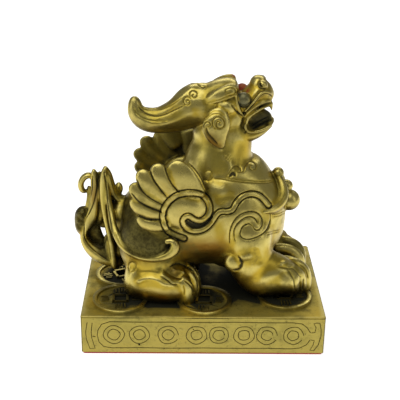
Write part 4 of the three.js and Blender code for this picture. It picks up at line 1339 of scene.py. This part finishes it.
class Finish:
    """A material and its nodes."""

    def __init__(self, name):
        self.material = bpy.data.materials.new(name)
        self.material.use_nodes = True
        self.tree = self.material.node_tree
        self.tree.nodes.clear()

    def node(self, kind, settings, inputs, out=0):
        """Adds a node, with its settings first and then its sockets' values or links."""
        node = self.tree.nodes.new(kind)
        for name, value in settings.items():
            setattr(node, name, value)
        for name, value in inputs.items():
            if isinstance(value, Wire):
                self.tree.links.new(value.socket, node.inputs[name])
            else:
                node.inputs[name].default_value = value
        return Wire(self, node.outputs[out]) if len(node.outputs) else None

    def attribute(self, name):
        return self.node("ShaderNodeAttribute", {"attribute_name": name}, {}, out="Fac")

    def noise(self, vector, scale, detail=3.0, roughness=0.55):
        return self.node("ShaderNodeTexNoise", {}, {
            "Vector": vector, "Scale": scale, "Detail": detail, "Roughness": roughness})

    def scaled(self, vector, factors):
        return self.node("ShaderNodeVectorMath", {"operation": "MULTIPLY"}, {0: vector, 1: factors})

    def mixed(self, share, first, second):
        return self.node("ShaderNodeMix", {"data_type": "RGBA"}, {
            0: share, 6: first, 7: second}, out=2)

    def between(self, value, low, high):
        """0 below `low`, 1 above `high`, smooth between them."""
        return self.node("ShaderNodeMapRange", {"interpolation_type": "SMOOTHSTEP"}, {
            0: value, 1: low, 2: high, 3: 0.0, 4: 1.0})

    def surface(self, **sockets):
        shader = self.node("ShaderNodeBsdfPrincipled", {}, sockets)
        self.node("ShaderNodeOutputMaterial", {}, {"Surface": shader})
        return self.material


def colour(red, green, blue):
    return (red, green, blue, 1)


# Heights over which the wall's finish gives way, and those where the deck's does
WALL_END = (0.0190, 0.0202)
DECK_END = (0.0211, 0.0217)


def brass():
    """Golden on worn edges, olive where it tarnished, olive and brown as painted shade in shaded places
    and on undersides, near black in the grooves and as painted shadow on the deck under the belly.
    """
    f = Finish("brass_with_patina_and_painted_shade")
    here = f.node("ShaderNodeTexCoord", {}, {}, out="Object")
    level = f.node("ShaderNodeSeparateXYZ", {}, {"Vector": here}, out="Z")
    hollow, shade, edge, line, rump, mouth, red, grey, coin_field, inner, brown_shade_mask, under = (
        f.attribute(name) for name in (
            "hollow", "shade", "edge", "line", "rump", "mouth", "red", "grey", "coin_field", "inner",
            "brown_shade_mask", "under"))
    cloud = f.noise(here, 38.0, 4.0)
    patch = f.noise(here, 95.0, 3.0, 0.5)
    mottle = f.noise(here, 230.0, 5.0, 0.65)
    grain = f.noise(here, 1500.0, 4.0, 0.6)
    stroke = f.noise(f.scaled(here, (90.0, 90.0, 1500.0)), 1.0, 4.0, 0.6)
    scratch = f.noise(here, 620.0, 6.0, 0.75)
    wall = 1 - f.between(level, *WALL_END)
    deck = (1 - f.between(level, *DECK_END)) * (1 - wall)
    # Patina in hollows and grooves, plus painted shade where far rays are blocked and on sides facing
    # the middle, plus a painted shadow on the deck under the belly; near black where this is strongest
    patina_and_painted_shade = (hollow * (1.1 - deck * 0.55 - coin_field * 0.4) + shade * 0.45 + (mottle - 0.5) * 0.4
             + deck * f.between(shade, 0.33, 0.48) * 0.9 + deck * 0.05 + coin_field * mottle * 0.3
             + inner * 0.5)
    patina_and_painted_shade = patina_and_painted_shade * (1 - coin_field * 0.3)
    # Tarnish in cloudy patches, plus the painted shade above and a painted shade that darkens undersides
    tarnish_and_painted_shade = (patina_and_painted_shade + (cloud - 0.5) * 0.8 + (mottle - 0.5) * 0.6 + (patch - 0.42) * 1.3 * (1 - wall)
               + wall * 0.2 + under * 0.5)
    dull_and_shaded = f.between(tarnish_and_painted_shade, 0.1, 0.75)
    black = f.between(patina_and_painted_shade, 0.5, 1.0)
    fleck = f.between(grain, 0.6, 0.7) * f.between(mottle + shade * 0.4 + hollow * 0.5, 0.53, 0.78)
    fleck = fleck * (1 - wall * 0.6)
    speck = f.between(scratch, 0.54, 0.72) * (wall * 0.4 + deck * 0.45 + coin_field * 0.3 + 0.16)
    deep = (black + line * line * 0.9 + mouth * 0.85 + fleck * 0.55 + speck).clamped()
    gold = f.mixed(f.between(cloud, 0.25, 0.75), colour(0.53, 0.365, 0.032), colour(0.41, 0.345, 0.078))
    worn = f.mixed(f.between(edge - patina_and_painted_shade * 0.3, 0.1, 0.9), gold, colour(0.62, 0.51, 0.145))
    # Painted shade: a warm brown where far rays are blocked, inside the warm brown outlines and on
    # undersides
    warm_painted_shade = (f.between(shade * 1.3 + (cloud - 0.5) * 0.9, 0.35, 0.8) * 0.5 + brown_shade_mask * 0.75
            + under * 0.9).clamped()
    brown = f.mixed(warm_painted_shade, worn, colour(0.175, 0.09, 0.012))
    olive = f.mixed(dull_and_shaded * 0.75, brown, colour(0.11, 0.095, 0.022))
    drawn = wall * (stroke * 0.6 + 0.45 - f.between(cloud, 0.4, 0.7) * 0.35)
    brushed = f.mixed(drawn, olive, colour(0.37, 0.31, 0.085))
    raw = f.mixed(
        rump * 0.9, brushed,
        f.mixed(f.between(scratch, 0.35, 0.7), colour(0.016, 0.014, 0.006), colour(0.13, 0.11, 0.03)))
    dark = f.mixed(deep, raw, colour(0.014, 0.014, 0.006))
    eye = f.mixed(grey * 0.85, dark, colour(0.11, 0.11, 0.06))
    base = f.mixed(red * (mottle * 0.6 + 0.6), eye, colour(0.26, 0.02, 0.012))
    rough = (dull_and_shaded * 0.12 + deep * 0.25 + wall * 0.12 + (mottle - 0.5) * 0.12 + (grain - 0.5) * 0.1
             + 0.34 - edge * 0.06 + red * 0.2 + rump * 0.1 + deck * 0.14).clamped()
    metal = (1 - deep * 0.7 - red * 0.9 - grey * 0.4 - deck * 0.3).clamped()
    bump = f.node("ShaderNodeBump", {}, {
        "Height": grain * 0.5 + mottle * 0.8 + wall * stroke * 0.6 + rump * scratch * 1.6,
        "Strength": 0.3, "Distance": 0.0003}, out="Normal")
    return f.surface(**{
        "Base Color": base, "Roughness": rough, "Metallic": metal, "Normal": bump,
        "Specular IOR Level": 0.2})


def red_felt():
    """Fine felt fibre, a little patchy."""
    f = Finish("red_felt")
    here = f.node("ShaderNodeTexCoord", {}, {}, out="Object")
    fibre = f.noise(here, 2600.0, 6.0, 0.7)
    patch = f.noise(here, 90.0, 3.0)
    base = f.mixed(fibre * 0.7 + patch * 0.3, colour(0.2, 0.006, 0.012), colour(0.55, 0.02, 0.04))
    bump = f.node("ShaderNodeBump", {}, {
        "Height": fibre, "Strength": 0.6, "Distance": 0.0004}, out="Normal")
    return f.surface(**{"Base Color": base, "Roughness": 0.95, "Normal": bump})


# Where the floor's glow rises, ahead of the figure, and where it fades to the sides
GLOW_AHEAD = (-0.15, -0.09)
GLOW_ASIDE = (0.35, 0.6)


def floor_finish():
    """Pale, and brightest under the figure and behind it."""
    f = Finish("pale_floor")
    here = f.node("ShaderNodeTexCoord", {}, {}, out="Object")
    ahead = f.node("ShaderNodeSeparateXYZ", {}, {"Vector": here}, out="Y")
    along = f.node("ShaderNodeSeparateXYZ", {}, {"Vector": here}, out="X")
    aside = f.node("ShaderNodeMath", {"operation": "ABSOLUTE"}, {0: along})
    bright = f.between(ahead, *GLOW_AHEAD) * (1 - f.between(aside, *GLOW_ASIDE))
    glow = f.mixed(bright, colour(0.31, 0.31, 0.31), colour(1, 1, 1))
    return f.surface(**{
        "Base Color": colour(0.85, 0.85, 0.85), "Roughness": 0.9,
        "Emission Color": glow, "Emission Strength": 0.72})


take(casting)
bpy.ops.object.shade_smooth_by_angle(angle=math.radians(40))
casting.data.materials.clear()
casting.data.materials.append(brass())
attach(casting, "root")
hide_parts("pixiu_casting")

felt = bpy.data.objects["felt_pad"]
felt.data.materials.clear()
felt.data.materials.append(red_felt())

deselect()
bpy.ops.mesh.primitive_plane_add(size=8, location=(0, 0, 0))
floor = bpy.context.object
floor.name = "floor"
floor.data.materials.append(floor_finish())

LAMP_TARGET = Vector((0, 0, 0.06))


def lamp(name, spot, size, power):
    aim = LAMP_TARGET - Vector(spot)
    bpy.ops.object.light_add(
        type="AREA", location=spot, rotation=aim.to_track_quat("-Z", "Y").to_euler())
    light = bpy.context.object
    light.name = name
    light.data.shape = "RECTANGLE"
    light.data.size, light.data.size_y = size
    light.data.energy = power


lamp("softbox_above", (-0.28, -0.3, 1.0), (1.15, 0.95), 5.3)
lamp("softbox_left", (-0.95, -0.4, 0.4), (0.4, 0.9), 1.3)
lamp("softbox_right", (0.85, -0.5, 0.5), (0.3, 0.9), 0.8)
lamp("softbox_behind", (0.15, 0.9, 0.75), (1.0, 0.4), 2.2)

world = bpy.data.worlds.new("studio")
bpy.context.scene.world = world
world.use_nodes = True
sky = world.node_tree.nodes["Background"]
sky.inputs["Color"].default_value = colour(1, 1, 1)
sky.inputs["Strength"].default_value = 0.21
bpy.context.scene.view_settings.view_transform = "Standard"

right, up, ahead = camera_axes()
turn = Matrix((right, up, -ahead)).transposed()
bpy.ops.object.camera_add(location=EYE, rotation=turn.to_euler())
camera = bpy.context.object
camera.data.lens = LENS
camera.data.sensor_width = SENSOR
bpy.context.scene.camera = camera
